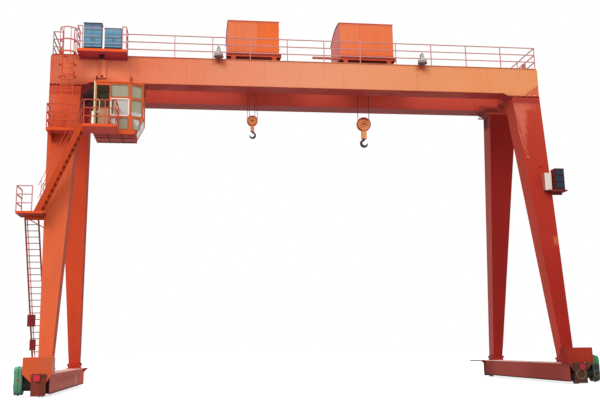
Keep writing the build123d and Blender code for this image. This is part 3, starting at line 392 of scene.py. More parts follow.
@dataclass(frozen=True)
class Coat:
    """A painted, bare or rubber finish with its own weathering and its own tones by facing, which are painted
    light and shade.
    """

    name: str
    front: Rgb
    # The side, under and top tones paint light and shade into the colour by facing.
    side: Rgb | None = None
    under: Rgb | None = None
    top: Rgb | None = None
    faded: Rgb | None = None
    grime: Rgb = (92, 44, 34)
    fading: float = 0.35
    streaks: float = 0.08
    specks: float = 0.1
    patch: float = 1.6
    gloss: float = 0.5
    metallic: float = 0.0
    bump: float = 0.15
    shine: float = 0.03
    blend: Blend | None = None
    patches: tuple[Patch, ...] = ()

    def material(self, effects: SharedEffects) -> bpy.types.Material:
        """Build the finish.

        Args:
            effects: the shared node groups.

        Returns:
            The material.
        """
        made, sheet = open_material(self.name)
        place = sheet.add("ShaderNodeTexCoord").outputs["Object"]
        given = (self.front, self.side, self.under, self.top)
        tones = {label: linear(colour or self.front) for label, colour in zip(ALL, given)}
        if self.blend:
            tones["Front"] = self.blend.tone(sheet, place)
        for patch in self.patches:
            mask = patch.mask(sheet, place, effects)
            for label in patch.tones:
                tones[label] = sheet.mix(mask, tones[label], linear(patch.colour))
        coat = sheet.group(effects.facing, **{f"i_{label}": tone for label, tone in tones.items()})[0]
        lighter = tuple(min(255, round(value * 1.06 + 8)) for value in self.front)
        weather = sheet.group(
            effects.weather,
            i_Place=place,
            i_Coat=coat,
            i_Faded=sheet.mix(0.55, coat, linear(self.faded or lighter)),
            i_Grime=linear(self.grime),
            i_Fading=self.fading,
            i_Streaks=self.streaks,
            i_Specks=self.specks,
            i_Patch_Size=self.patch,
            i_Gloss=self.gloss,
        )
        depth = {"i_Strength": self.bump, "i_Distance": 0.004}
        relief = sheet.add("ShaderNodeBump", i_Height=weather["Height"], **depth)
        shader = sheet.add(
            "ShaderNodeBsdfPrincipled",
            i_Base_Color=weather["Color"],
            i_Roughness=weather["Roughness"],
            i_Metallic=self.metallic,
            i_Normal=relief.outputs[0],
            i_Specular_IOR_Level=self.shine,
        )
        sheet.add("ShaderNodeOutputMaterial", i_Surface=shader.outputs[0])
        return made


@dataclass(frozen=True)
class Glass:
    """A clear pane with a slight tint."""

    name: str
    tint: Rgb
    clearness: float = 0.9
    patches: tuple[Patch, ...] = ()

    def material(self, effects: SharedEffects) -> bpy.types.Material:
        """Build the pane's finish.

        Args:
            effects: the shared node groups.

        Returns:
            The material.
        """
        made, sheet = open_material(self.name)
        place = sheet.add("ShaderNodeTexCoord").outputs["Object"]
        film = sheet.noise(place, scale=3.0, detail=4.0)
        tone = sheet.mix(film, linear(self.tint), linear(tuple(min(255, v + 14) for v in self.tint)))
        for patch in self.patches:
            tone = sheet.mix(patch.mask(sheet, place, effects), tone, linear(patch.colour))
        shader = sheet.add(
            "ShaderNodeBsdfPrincipled",
            i_Base_Color=tone,
            i_Roughness=sheet.remap(film, 0.3, 0.8, first=0.02, last=0.12),
            i_Transmission_Weight=self.clearness,
            i_IOR=1.3,
        )
        sheet.add("ShaderNodeOutputMaterial", i_Surface=shader.outputs[0])
        return made


Finish = Coat | Glass
Chains = Iterable[Sequence[Point]]


class Fitter:
    """Makes meshes in the crane's own frame, finishes them, and hands them to the frame."""

    merge_reach = 1e-5

    def __init__(self, effects: SharedEffects) -> None:
        """Keep the shared effects and build the trees for repeated pieces.

        Args:
            effects: the node groups that the finishes share.
        """
        self.effects = effects
        self.heads_tree = self._heads_tree()
        self.bead_tree = self._bead_tree()

    @staticmethod
    def _open_tree(name: str, sizes: dict[str, tuple]) -> tuple:
        """Start a geometry tree whose host is a chain of edges.

        Args:
            name: the tree's name.
            sizes: socket type and default value of each size, by name.

        Returns:
            The sheet, the sockets of the tree's inputs, and the path as a curve.
        """
        inputs = {"Geometry": (GEOMETRY, None), **sizes, "Finish": (MATERIAL, None)}
        sheet, given = open_group(name, "GeometryNodeTree", inputs, {"Geometry": GEOMETRY})
        return sheet, given, sheet.add("GeometryNodeMeshToCurve", i_Mesh=given["Geometry"]).outputs[0]

    @staticmethod
    def _close_tree(sheet: NodeSheet, shape: bpy.types.Node, finish: Socket) -> Tree:
        """Make the instances real, set the finish and end the tree.

        Args:
            sheet: the tree's sheet.
            shape: the node that makes the shape.
            finish: the socket of the finish.

        Returns:
            The tree.
        """
        real = sheet.add("GeometryNodeRealizeInstances", i_Geometry=shape.outputs[0])
        dressed = sheet.add("GeometryNodeSetMaterial", i_Geometry=real.outputs[0], i_Material=finish)
        sheet.add("NodeGroupOutput", i_Geometry=dressed.outputs[0])
        return sheet.tree

    def _heads_tree(self) -> Tree:
        """Build the tree that sets bolt heads at an even spacing along a path.

        Returns:
            The tree.
        """
        sizes = {
            "Spacing": (FLOAT, 0.2),
            "Head Radius": (FLOAT, 0.02),
            "Head Height": (FLOAT, 0.02),
            "Looks Towards": (VECTOR, (0, -1, 0)),
        }
        sheet, given, path = self._open_tree("bolt_heads_along_path", sizes)
        row = {"i_Curve": path, "i_Length": given["Spacing"]}
        points = sheet.add("GeometryNodeCurveToPoints", mode="LENGTH", **row)
        bolt = {"i_Vertices": 6, "i_Radius": given["Head Radius"], "i_Depth": given["Head Height"]}
        head = sheet.add("GeometryNodeMeshCylinder", **bolt)
        turn = sheet.add("FunctionNodeAlignRotationToVector", axis="Z", i_Vector=given["Looks Towards"])
        parts = {"i_Points": points, "i_Instance": head, "i_Rotation": turn}
        sockets = {label: node.outputs[0] for label, node in parts.items()}
        return self._close_tree(sheet, sheet.add("GeometryNodeInstanceOnPoints", **sockets), given["Finish"])

    def _bead_tree(self) -> Tree:
        """Build the tree that runs a bead along a path.

        Returns:
            The tree.
        """
        sizes = {"Bead Radius": (FLOAT, 0.02), "Bead Sides": ("NodeSocketInt", 8)}
        sheet, given, path = self._open_tree("bead_along_path", sizes)
        circle = {"i_Resolution": given["Bead Sides"], "i_Radius": given["Bead Radius"]}
        profile = sheet.add("GeometryNodeCurvePrimitiveCircle", **circle).outputs[0]
        bead = sheet.add("GeometryNodeCurveToMesh", i_Curve=path, i_Profile_Curve=profile, i_Fill_Caps=True)
        return self._close_tree(sheet, bead, given["Finish"])

    def material(self, finish: Finish) -> bpy.types.Material:
        """Give a finish's material, which is built once."""
        return bpy.data.materials.get(finish.name) or finish.material(self.effects)

    def paint(self, finish: Finish, *nodes: str) -> None:
        """Give CAD nodes their finish.

        Args:
            finish: the finish.
            nodes: names of CAD nodes.
        """
        for name in nodes:
            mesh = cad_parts[name].data
            mesh.materials.clear()
            mesh.materials.append(self.material(finish))
            LOG.info("%s finished in %s", name, finish.name)

    def hand_over(
        self, mesh: bpy.types.Mesh, name: str, finish: Finish, body: str | None
    ) -> bpy.types.Object:
        """Finish a mesh, turn its faces outwards and let it ride on a body.

        Args:
            mesh: the mesh, in place.
            name: the piece's name.
            finish: its finish.
            body: the CAD body that carries it, or none for a piece that rides on no body.

        Returns:
            The new object.
        """
        soup = bmesh.new()
        soup.from_mesh(mesh)
        bmesh.ops.remove_doubles(soup, verts=soup.verts, dist=self.merge_reach)
        bmesh.ops.recalc_face_normals(soup, faces=soup.faces)
        soup.to_mesh(mesh)
        soup.free()
        mesh.materials.clear()
        mesh.materials.append(self.material(finish))
        piece = bpy.data.objects.new(name, mesh)
        bpy.context.scene.collection.objects.link(piece)
        if body:
            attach(piece, body)
        LOG.info("%s rides on %s, %d faces", name, body, len(mesh.polygons))
        return piece

    def _grow(self, tree: Tree, chains: Chains, closed: bool, values: dict) -> bpy.types.Mesh:
        """Run a tree on chains of edges and give the plain mesh.

        Args:
            tree: the geometry tree.
            chains: the points of each chain.
            closed: whether each chain ends where it starts.
            values: the tree's inputs by name.

        Returns:
            The mesh that the tree makes.
        """
        points: list[Point] = []
        edges: list[tuple[int, int]] = []
        for chain in chains:
            first = len(points)
            points.extend(tuple(point) for point in chain)
            last = len(points) - 1
            edges.extend((at, at + 1) for at in range(first, last))
            if closed:
                edges.append((last, first))
        path = bpy.data.meshes.new("path")
        path.from_pydata(points, edges, [])
        host = bpy.data.objects.new("path", path)
        bpy.context.scene.collection.objects.link(host)
        modifier = host.modifiers.new(tree.name, "NODES")
        modifier.node_group = tree
        for item in tree.interface.items_tree:
            if item.in_out == "INPUT" and item.name in values:
                modifier[item.identifier] = values[item.name]
        ready = host.evaluated_get(bpy.context.evaluated_depsgraph_get())
        mesh = bpy.data.meshes.new_from_object(ready)
        host.modifiers.remove(modifier)
        bpy.data.objects.remove(host)
        return mesh

    def bolts(
        self,
        name: str,
        chains: Chains,
        facing: Facing,
        finish: Finish,
        slot: str,
        spacing: float = 0.2,
        radius: float = 0.022,
        height: float = 0.03,
        closed: bool = False,
    ) -> bpy.types.Object:
        """Set bolt heads on the frame along chains of points.

        Args:
            name: the piece's name.
            chains: the points of each chain.
            facing: the direction that the heads look in.
            finish: the finish.
            slot: not used.
            spacing: the distance between heads.
            radius: the radius of a head.
            height: the height of a head.
            closed: whether each chain ends where it starts.

        Returns:
            The new object.
        """
        values = {
            "Spacing": spacing,
            "Head Radius": radius,
            "Head Height": height,
            "Looks Towards": facing.value,
            "Finish": self.material(finish),
        }
        heads = self._grow(self.heads_tree, chains, closed, values)
        return self.hand_over(heads, name, finish, FRAME_BODY)

    def beads(
        self,
        name: str,
        chains: Chains,
        radius: float,
        finish: Finish,
        slot: str,
        body: str | None = FRAME_BODY,
        sides: int = 8,
        closed: bool = False,
    ) -> bpy.types.Object:
        """Run a round bead, tube or seam along chains of points."""
        values = {"Bead Radius": radius, "Bead Sides": sides, "Finish": self.material(finish)}
        return self.hand_over(self._grow(self.bead_tree, chains, closed, values), name, finish, body)

    def blocks(
        self,
        name: str,
        boxes: Iterable[tuple[Span, Span, Span]],
        finish: Finish,
        slot: str,
        body: str = FRAME_BODY,
        edge: float = 0.006,
    ) -> bpy.types.Object:
        """Make plates and blocks with eased edges.

        Args:
            name: the piece's name.
            boxes: the three ranges of each block.
            finish: the finish.
            slot: not used.
            body: the CAD body that carries it.
            edge: the width of the eased edge.

        Returns:
            The new object.
        """
        soup = bmesh.new()
        for ranges in boxes:
            middle = Vector([(low + high) / 2 for low, high in ranges])
            sizes = [abs(high - low) for low, high in ranges]
            place = Matrix.Translation(middle) @ Matrix.Diagonal((*sizes, 1))
            bmesh.ops.create_cube(soup, size=1, matrix=place)
        easing = {"offset": edge, "offset_type": "OFFSET", "segments": 1, "affect": "EDGES"}
        bmesh.ops.bevel(soup, geom=soup.edges[:], clamp_overlap=True, **easing)
        return self.hand_over(self._free(soup, name), name, finish, body)

    def prism(
        self, name: str, outline: Sequence[Point], thickness: Point, finish: Finish, slot: str
    ) -> bpy.types.Object:
        """Make a plate that rides on the frame.

        Args:
            name: the piece's name.
            outline: the points of its face.
            thickness: the vector that the face is drawn along.
            finish: the finish.
            slot: not used.

        Returns:
            The new object.
        """
        soup = bmesh.new()
        face = soup.faces.new([soup.verts.new(point) for point in outline])
        grown = bmesh.ops.extrude_face_region(soup, geom=[face])
        moved = [part for part in grown["geom"] if isinstance(part, bmesh.types.BMVert)]
        bmesh.ops.translate(soup, verts=moved, vec=Vector(thickness))
        return self.hand_over(self._free(soup, name), name, finish, FRAME_BODY)

    @staticmethod
    def _free(soup: bmesh.types.BMesh, name: str) -> bpy.types.Mesh:
        """Turn a bmesh into a mesh and free it.

        Args:
            soup: the bmesh.
            name: the mesh's name.

        Returns:
            The mesh.
        """
        mesh = bpy.data.meshes.new(name)
        soup.to_mesh(mesh)
        soup.free()
        return mesh


def arc(middle: Span, radius: float, start: float, turn: float, steps: int) -> list[Span]:
    """Give the points of an arc in its own plane, from a start angle through a turn, in degrees."""
    angles = [math.radians(start + turn * step / steps) for step in range(steps + 1)]
    return [(middle[0] + radius * math.cos(angle), middle[1] + radius * math.sin(angle)) for angle in angles]


def rounded_loop(middle: Point, across: Vector, size: Span, radius: float, steps: int = 5) -> list[Point]:
    """Give the points of an upright rectangle with round corners.

    Args:
        middle: the rectangle's centre.
        across: unit vector along its width.
        size: width and height.
        radius: radius of the corners.
        steps: runs in each corner.

    Returns:
        The points in order.
    """
    centre = Vector(middle)
    half = (size[0] / 2 - radius, size[1] / 2 - radius)
    points = []
    for corner, (side, level) in enumerate(((1, 1), (-1, 1), (-1, -1), (1, -1))):
        bend = arc((side * half[0], level * half[1]), radius, 90 * corner, 90, steps)
        points.extend(tuple(centre + across * reach + Z_AXIS * rise) for reach, rise in bend)
    return points


def ring(middle: Point, second: Vector, radius: float, count: int = 24) -> list[Point]:
    """Give the points of a circle in the plane of the X axis and a second unit vector.

    Args:
        middle: the circle's middle.
        second: the second unit vector.
        radius: the circle's radius.
        count: the number of points.

    Returns:
        The points.
    """
    turns = [math.tau * step / count for step in range(count)]
    centre = Vector(middle)
    return [tuple(centre + radius * (math.cos(turn) * X_AXIS + math.sin(turn) * second)) for turn in turns]


# Finishes of the crane's own surfaces
# Box round the right end of the crane; the patches that use it are painted shade, as that end stood in
# shadow.
RIGHT_END_IN_SHADE = {"centre": (11.3, 0.0, 1.0), "reach": (2.0, 8.0, 3.0)}
# Front girder: the pale front and its run along X are partly sun-faded paint and partly a painted sheen; the
# side, under and top tones are painted light and shade.
GIRDER_FACE = Coat(
    "girder_face_paint", front=(232, 149, 114), side=(196, 86, 62), under=(176, 54, 48), top=(214, 110, 78),
    blend=Blend(
        Along.X, -11.8, 11.8,
        (
            (0.0, (216, 98, 64)), (0.12, (226, 112, 74)), (0.24, (230, 130, 94)), (0.5, (233, 149, 111)),
            (0.8, (231, 147, 95)), (1.0, (228, 143, 86)),
        ),
    ),
    patches=(
        # Painted shadow: a darker wedge across the lower right end of the face.
        Patch((206, 96, 62), (11.725, -1.93, 13.665), (1.6, 0.3, 0.6), turn=34.7, edge=0.06, torn=0.1),
        # Painted light: a lighter patch that lifts the shadow of the desk on the face.
        Patch((250, 146, 104), (-9.4, -1.93, 14.5), (1.5, 0.3, 0.75), edge=0.7, share=0.85),
        Patch((236, 120, 76), (-11.0, -1.93, 14.7), (0.7, 0.3, 0.8), edge=0.8, torn=0.4, share=0.6),
        Patch((204, 108, 90), (-11.5, -1.93, 14.6), (0.12, 0.3, 0.9), edge=0.8, torn=0.7, share=0.7),
        Patch((206, 78, 48), (-10.3, -1.93, 13.8), (1.9, 0.3, 0.5), edge=0.7, torn=0.5, share=0.6),
        Patch((150, 52, 42), (0.0, -1.93, 13.9), (12.0, 0.3, 0.09), edge=0.6, torn=0.3, share=0.5),
        # Painted shadows of the two floodlights on the top of the face.
        Patch((172, 48, 34), (-4.1, -1.95, 15.14), (0.34, 0.4, 0.2), edge=0.95, torn=0.8),
        Patch((172, 48, 34), (5.8, -1.95, 15.14), (0.34, 0.4, 0.2), edge=0.95, torn=0.8),
    ),
    faded=(238, 166, 132), streaks=0.05, specks=0.03,
)
REAR_GIRDER = Coat(
    "rear_girder_paint", front=(206, 82, 66), side=(190, 76, 60), under=(172, 90, 84), top=(205, 96, 66),
    faded=(196, 84, 64),
    patches=(
        Patch((222, 98, 78), (0.0, -1.0, 14.2), (12.0, 1.2, 0.35), edge=0.7, share=0.6),
        # Painted shade at the right end of the rear girder, on every facing.
        Patch((92, 34, 34), (10.5, 1.2, 14.0), (1.1, 1.2, 0.28), edge=0.8, torn=0.6, share=0.9, tones=ALL),
    ),
)
LEFT_LEG = Coat(
    "front_left_leg_paint", front=(217, 98, 58), side=(176, 70, 48), faded=(228, 120, 80),
    patches=(
        Patch((212, 80, 44), (-11.0, -2.3, 12.0), (1.0, 1.2, 2.6), edge=0.5, torn=0.6, share=0.8),
        Patch((186, 62, 44), (-11.0, -2.0, 13.5), (1.4, 0.6, 0.3), edge=0.6, torn=0.3, share=0.8),
        Patch((198, 98, 82), (-11.6, -2.3, 12.5), (0.13, 1.2, 1.3), edge=0.8, torn=0.8, share=0.7),
        Patch((192, 66, 46), (-11.12, -2.3, 12.4), (0.05, 1.2, 1.4), edge=0.9, torn=0.9, share=0.7),
        Patch((160, 46, 38), (-11.0, -2.3, 13.36), (1.0, 1.2, 0.035), edge=0.6, torn=0.6, share=0.8),
    ),
    streaks=0.08,
)
REAR_LEFT_LEG = Coat(
    "rear_left_leg_paint", front=(214, 80, 46), side=(160, 54, 40),
    # The run up the leg is darker at the foot and darkens again at the top, where it is painted shade under
    # the girder.
    blend=Blend(
        Along.Z, 1.0, 13.7,
        (
            (0.0, (196, 64, 44)), (0.25, (220, 80, 44)), (0.75, (214, 78, 46)), (0.93, (164, 52, 44)),
            (1.0, (140, 48, 42)),
        ),
    ),
)
# Front right leg: its dark red is painted shade, as the right end stood in shadow; the run up the leg is
# darker towards the foot.
RIGHT_LEG = Coat(
    "front_right_leg_paint", front=(172, 54, 39), side=(178, 66, 50),
    blend=Blend(
        Along.Z, 1.0, 13.7,
        ((0.0, (144, 34, 26)), (0.45, (162, 42, 31)), (0.78, (174, 54, 38)), (1.0, (184, 66, 48))),
    ),
    patches=(
        # Painted light: a sunlit wedge at the top of the leg, with its pale left edge and the small hook
        # below it, in this and the next three patches.
        Patch(
            (208, 112, 88), (10.68, -2.28, 12.1), (0.56, 1.2, 1.6), edge=0.5, taper=1.0, torn=0.6, share=0.72,
        ),
        Patch((204, 108, 86), (10.9, -2.28, 13.3), (0.75, 1.2, 0.36), edge=0.9, torn=1.0, share=0.55),
        Patch(
            (218, 142, 118), (10.46, -2.28, 11.9), (0.03, 1.2, 1.35), turn=8.4, edge=0.7, torn=0.5, share=0.6,
        ),
        Patch(
            (220, 150, 128), (10.72, -2.28, 10.56), (0.08, 1.2, 0.03), turn=-20.0, edge=0.5, torn=0.4,
            share=0.8,
        ),
        Patch((206, 116, 56), (11.4, -3.4, 6.4), (0.14, 0.5, 0.26), edge=0.7, torn=0.6, share=0.7),
        Patch((120, 40, 34), (11.26, -2.7, 10.05), (0.1, 0.4, 0.06), edge=0.5, torn=0.6, share=0.8),
        Patch((140, 44, 36), (11.0, -2.0, 13.55), (1.4, 0.6, 0.2), edge=0.6, torn=0.3, share=0.7),
    ),
    streaks=0.1,
)
# Rear right leg: its dark front is painted shade and its lighter side is painted light; the dark patch at the
# top is painted shade under the girder.
REAR_RIGHT_LEG = Coat(
    "rear_right_leg_paint", front=(146, 36, 31), side=(168, 80, 70),
    patches=(
        Patch((56, 30, 26), (10.3, 2.0, 13.45), (1.6, 1.0, 0.45), edge=0.7, torn=0.4, share=0.9, tones=ALL),
    ),
)
LEFT_BEAM = Coat(
    "left_beam_paint", front=(186, 62, 44), side=(176, 86, 72), under=(90, 40, 36), top=(226, 176, 158),
    patches=(
        Patch((44, 34, 32), (0.0, -5.4, 0.45), (12.0, 0.6, 0.46), edge=0.02),
        Patch((214, 74, 42), (-10.75, 4.5, 0.5), (0.3, 0.5, 0.8), edge=0.15, tones=SIDE),
        Patch((56, 34, 30), (-10.75, 5.2, 0.45), (0.3, 0.3, 0.8), edge=0.3, tones=SIDE),
        Patch(
            (214, 172, 156), (-10.75, 2.3, 0.42), (0.3, 0.3, 0.3), edge=0.8, taper=-0.8, torn=0.5, share=0.7,
            tones=SIDE,
        ),
        Patch(
            (188, 110, 92), (-10.75, 0.0, 0.28), (0.3, 5.0, 0.2), edge=0.8, torn=0.8, share=0.45, tones=SIDE,
        ),
        Patch(
            (112, 50, 42), (-10.75, 0.0, 0.62), (0.3, 6.0, 0.16), edge=0.9, torn=0.8, share=0.3, tones=SIDE,
        ),
    ),
    streaks=0.2, specks=0.15,
)
RIGHT_BEAM = Coat(
    "right_beam_paint", front=(160, 46, 36), side=(152, 70, 60), under=(84, 38, 34), top=(196, 150, 134),
    patches=(
        Patch((58, 36, 32), (0.0, -5.4, 0.45), (12.0, 0.6, 0.46), edge=0.02),
        Patch((104, 40, 36), (10.75, 4.6, 0.4), (0.3, 1.4, 0.8), edge=0.8, torn=0.3, share=0.7, tones=SIDE),
        Patch((126, 48, 42), (10.75, -2.8, 0.4), (0.3, 2.6, 0.8), edge=0.6, torn=0.5, share=0.6, tones=SIDE),
        Patch((52, 28, 28), (10.75, 5.2, 0.4), (0.3, 0.5, 0.8), edge=0.6, share=0.95, tones=SIDE),
        Patch((226, 214, 208), (10.75, 3.9, 0.93), (0.9, 1.3, 0.08), edge=0.4, torn=0.3, tones=("Top",)),
        Patch((188, 178, 168), (9.2, 5.2, 0.92), (0.72, 0.6, 0.2), edge=0.04, tones=ALL),
        Patch((88, 34, 34), (10.2, 5.2, 0.92), (0.28, 0.6, 0.2), edge=0.2, share=0.9, tones=ALL),
    ),
    streaks=0.25, specks=0.2,
)
HOOD = Coat(
    "drive_hood_paint", front=(208, 90, 50), side=(196, 122, 108), top=(214, 116, 82),
    patches=(
        Patch((196, 94, 66), (-10.9, -5.2, 1.4), (0.5, 1.0, 0.5), edge=0.9, torn=0.4, share=0.5),
        # Painted shade on the right-hand hood.
        Patch((136, 28, 24), tones=ALL, edge=0.02, **RIGHT_END_IN_SHADE),
        Patch((74, 54, 40), (11.2, -5.3, 0.6), (0.8, 0.6, 0.34), edge=0.15, torn=0.5, share=0.95),
    ),
    streaks=0.1,
)
STAIR = Coat("stair_paint", front=(194, 72, 36), side=(170, 50, 40), under=(150, 46, 42), top=(206, 96, 66))
PLATFORM = Coat(
    "platform_paint", front=(230, 88, 42), side=(170, 54, 48), under=(216, 92, 78), top=(206, 96, 66),
    patches=(
        # Painted shade on the undersides near the left leg's landing.
        Patch((152, 52, 42), (-12.0, -2.5, 7.5), (3.0, 3.0, 1.0), edge=0.02, tones=UNDER),
    ),
)
# Cable duct: its front is a lighter orange than the girder's, painted light that lifts the shadow of the desk
# above it.
DUCT = Coat(
    "duct_paint", front=(252, 142, 98), side=(176, 70, 54), under=(110, 44, 40),
    patches=(
        Patch((226, 106, 84), (-9.56, -1.95, 14.6), (0.09, 0.3, 0.8), edge=0.4, torn=0.2, share=0.8),
    ),
)
DESK = Coat(
    "desk_paint", front=(238, 96, 46), side=(150, 54, 54), under=(182, 74, 96), top=(206, 96, 66),
    patches=(
        Patch((160, 60, 70), (-9.4, -2.2, 14.9), (1.4, 1.0, 0.235), edge=0.02, tones=("Front", "Side")),
    ),
)
RAIL = Coat(
    "rail_paint", front=(206, 140, 134), side=(196, 128, 122), under=(150, 96, 94), top=(216, 176, 170),
    patches=(
        Patch((184, 162, 158), (0.0, -1.9, 15.88), (10.4, 0.3, 0.3), edge=0.02, tones=("Under", "Top")),
        Patch((150, 124, 120), (0.0, -1.9, 16.33), (10.4, 0.3, 0.14), edge=0.02, tones=("Under", "Top")),
        Patch(
            (172, 146, 146), (-11.6, 0.0, 15.9), (0.5, 3.0, 1.2), edge=0.02, tones=("Front", "Side", "Top"),
        ),
    ),
    specks=0.15,
)
CAGE = Coat(
    "cage_paint", front=(222, 96, 62), side=(196, 78, 56), under=(150, 50, 44), top=(226, 120, 92),
    patches=(
        Patch((208, 108, 102), (-10.9, -2.8, 16.6), (1.2, 1.6, 1.36), edge=0.02, tones=ALL),
        Patch((206, 158, 154), (-10.9, -2.8, 16.6), (1.2, 1.6, 0.7), edge=0.02, tones=ALL),
    ),
)
LANDING_RAIL = Coat(
    "landing_rail_paint", front=(206, 86, 62), side=(190, 84, 72), under=(146, 56, 50), top=(222, 132, 112),
)
LADDER = Coat(
    "ladder_paint", front=(222, 96, 58), side=(196, 74, 50), under=(150, 50, 44), top=(226, 120, 92),
    patches=(
        Patch((128, 50, 48), (-11.8, -2.8, 3.4), (1.2, 1.0, 4.1), edge=0.05),
        Patch((206, 86, 84), (-10.9, -2.8, 15.8), (1.2, 1.6, 1.4), edge=0.05),
    ),
)
DARK_RED = Coat(
    "dark_red_paint", front=(132, 44, 42), side=(112, 42, 40), under=(90, 34, 34), top=(150, 70, 60),
)
SEAM_RED = Coat("seam_red", front=(126, 38, 34), side=(120, 38, 34), under=(96, 32, 30), specks=0.3)
SEAT_PAD = Coat("seat_pad_paint", front=(242, 158, 116), side=(216, 112, 80), top=(244, 170, 130), specks=0.2)
BROWN_PLATE = Coat(
    "end_plate_paint", front=(128, 58, 46),
    patches=(
        Patch((142, 72, 56), (-11.14, -5.36, 0.62), (0.22, 0.3, 0.3), edge=0.8, torn=1.0, share=0.6),
        Patch((72, 44, 38), (-11.0, -5.36, 0.3), (0.16, 0.3, 0.4), edge=0.8, torn=0.9, share=0.5),
        Patch((74, 46, 42), (-11.0, -5.36, 0.8), (0.3, 0.3, 0.1), edge=0.7, torn=0.7, share=0.8),
        # Painted shade on the right-hand end plate.
        Patch((62, 50, 38), tones=ALL, edge=0.3, torn=0.6, share=0.95, **RIGHT_END_IN_SHADE),
        Patch((150, 46, 46), (11.3, -5.36, 0.68), (0.1, 0.3, 0.08), edge=0.7, torn=0.8, share=0.8),
    ),
    streaks=0.25, specks=0.3,
)
GEAR_GREEN = Coat(
    "gearbox_paint", front=(80, 140, 102), side=(50, 92, 72), under=(34, 60, 50), top=(104, 176, 140),
    faded=(112, 176, 142), grime=(80, 62, 42),
    patches=(
        Patch((132, 88, 42), (-11.93, -5.2, 0.66), (0.1, 0.4, 0.12), edge=0.8, torn=0.9, share=0.9),
        Patch((60, 110, 76), (-11.95, -5.2, 0.25), (0.4, 0.6, 0.4), edge=0.8, torn=0.4, share=0.7),
        Patch((30, 50, 38), (-11.78, -5.0, 0.6), (0.07, 0.8, 1.0), edge=0.6, torn=0.2, share=0.9),
        # Painted shade on the right-hand gearbox.
        Patch((38, 44, 32), tones=ALL, edge=0.02, **RIGHT_END_IN_SHADE),
        Patch((46, 116, 78), (11.98, -5.0, 1.02), (0.3, 0.6, 0.24), edge=0.5, share=0.9, tones=ALL),
    ),
    specks=0.25, gloss=0.36, shine=0.3,
)
DARK_STEEL = Coat(
    "dark_casting", front=(44, 38, 35), side=(34, 30, 28), grime=(82, 50, 38), specks=0.4, gloss=0.5,
)
TRACK_STEEL = Coat(
    "trolley_track", front=(74, 56, 50), top=(120, 112, 106), specks=0.4,
    patches=tuple(
        Patch((196, 128, 118), (x, 0.0, 15.4), (0.5, 2.4, 0.4), edge=0.02, tones=ALL)
        for x in (-11.5, 11.5)
    ),
)
WORN_STEEL = Coat("worn_tread", front=(96, 88, 82), grime=(86, 58, 46), specks=0.35, metallic=0.6, gloss=0.35)
CABINET = Coat(
    "cabinet_paint", front=(112, 156, 178), side=(160, 54, 58), top=(60, 66, 72), faded=(126, 178, 200),
    grime=(78, 96, 110), streaks=0.12,
    blend=Blend(
        Along.Z, 15.27, 16.53,
        (
            (0.0, (62, 84, 104)), (0.06, (122, 172, 188)), (0.15, (96, 144, 168)), (0.21, (134, 134, 150)),
            (0.28, (92, 138, 162)), (0.42, (116, 166, 184)), (0.48, (138, 130, 148)), (0.56, (90, 138, 162)),
            (0.72, (118, 164, 180)), (0.79, (150, 140, 156)), (0.88, (98, 116, 140)), (1.0, (62, 72, 84)),
        ),
    ),
)
CABINET_BAND = Coat(
    "cabinet_band_paint", front=(136, 158, 174), side=(132, 66, 72), top=(170, 172, 186), under=(84, 84, 100),
)
CABINET_TRIM = Coat("cabinet_trim", front=(44, 42, 52), side=(110, 44, 48), top=(70, 78, 88), gloss=0.6)
CAB_SHELL = Coat(
    "cab_paint", front=(232, 102, 56), side=(196, 76, 52), under=(150, 62, 54), top=(214, 110, 74),
    patches=(
        Patch((196, 186, 154), (-8.4, -1.14, 12.54), (0.8, 0.05, 1.12), edge=0.02),
        Patch((206, 214, 172), (-9.42, -1.14, 13.1), (0.26, 0.05, 0.6), edge=0.05),
        Patch((206, 178, 142), (-9.42, -1.14, 12.0), (0.26, 0.05, 0.56), edge=0.05),
        Patch((200, 190, 158), (-9.64, -1.9, 12.5), (0.03, 0.8, 1.2), edge=0.02, tones=SIDE),
        Patch((176, 166, 138), (-7.58, -1.9, 12.5), (0.03, 0.8, 1.2), edge=0.02, tones=SIDE),
        Patch((150, 142, 116), (-8.6, -1.9, 13.64), (1.1, 0.78, 0.06), edge=0.02, tones=UNDER),
        Patch((192, 194, 180), (-9.4, -1.9, 13.64), (0.33, 0.84, 0.06), edge=0.02, tones=UNDER),
    ),
)
CAB_TRIM = Coat(
    "cab_underside_paint", front=(226, 96, 52), side=(160, 54, 46), under=(190, 92, 82), top=(120, 104, 84),
    patches=(
        Patch((168, 58, 50), (-8.7, -2.55, 11.28), (1.3, 0.35, 0.2), edge=0.4, tones=UNDER),
        Patch((205, 116, 110), (-8.7, -1.25, 11.28), (1.3, 0.3, 0.2), edge=0.5, tones=UNDER),
    ),
)
DOOR_YELLOW = Coat(
    "door_paint", front=(248, 226, 178), side=(232, 204, 150), grime=(180, 130, 90), streaks=0.12,
)


def house_coat(name: str, seam: float, right_end: float, eave: float, contrast: float) -> Coat:
    """Give the finish of a trolley house.

    Args:
        name: the finish's name.
        seam: the place of the upright seam.
        right_end: the house's right end.
        eave: the height of the eave.
        contrast: how much stronger the colour is to the right of the seam.

    Returns:
        The finish.
    """
    middle = (seam + right_end) / 2
    width = right_end - middle
    bright = Patch((234, 106, 44), (middle, -1.3, 16.7), (width, 0.4, 1.4), edge=0.04, share=contrast)
    sheen = Patch((236, 114, 60), (middle, -1.3, 16.1), (3.0, 0.4, 0.5), edge=0.8, torn=0.3, share=0.5)
    shade = Patch((214, 104, 74), (middle - 2, -1.3, eave - 0.06), (4.0, 0.4, 0.1), edge=0.3, share=0.6)
    foot = Patch((176, 78, 56), (middle - 1, -1.3, 15.86), (3.0, 0.4, 0.07), edge=0.5, torn=0.2, share=0.8)
    tones = {"side": (206, 124, 118), "under": (110, 50, 48), "top": (228, 132, 98)}
    patches = (bright, sheen, shade, foot)
    return Coat(name, front=(232, 124, 80), patches=patches, streaks=0.05, specks=0.05, **tones)


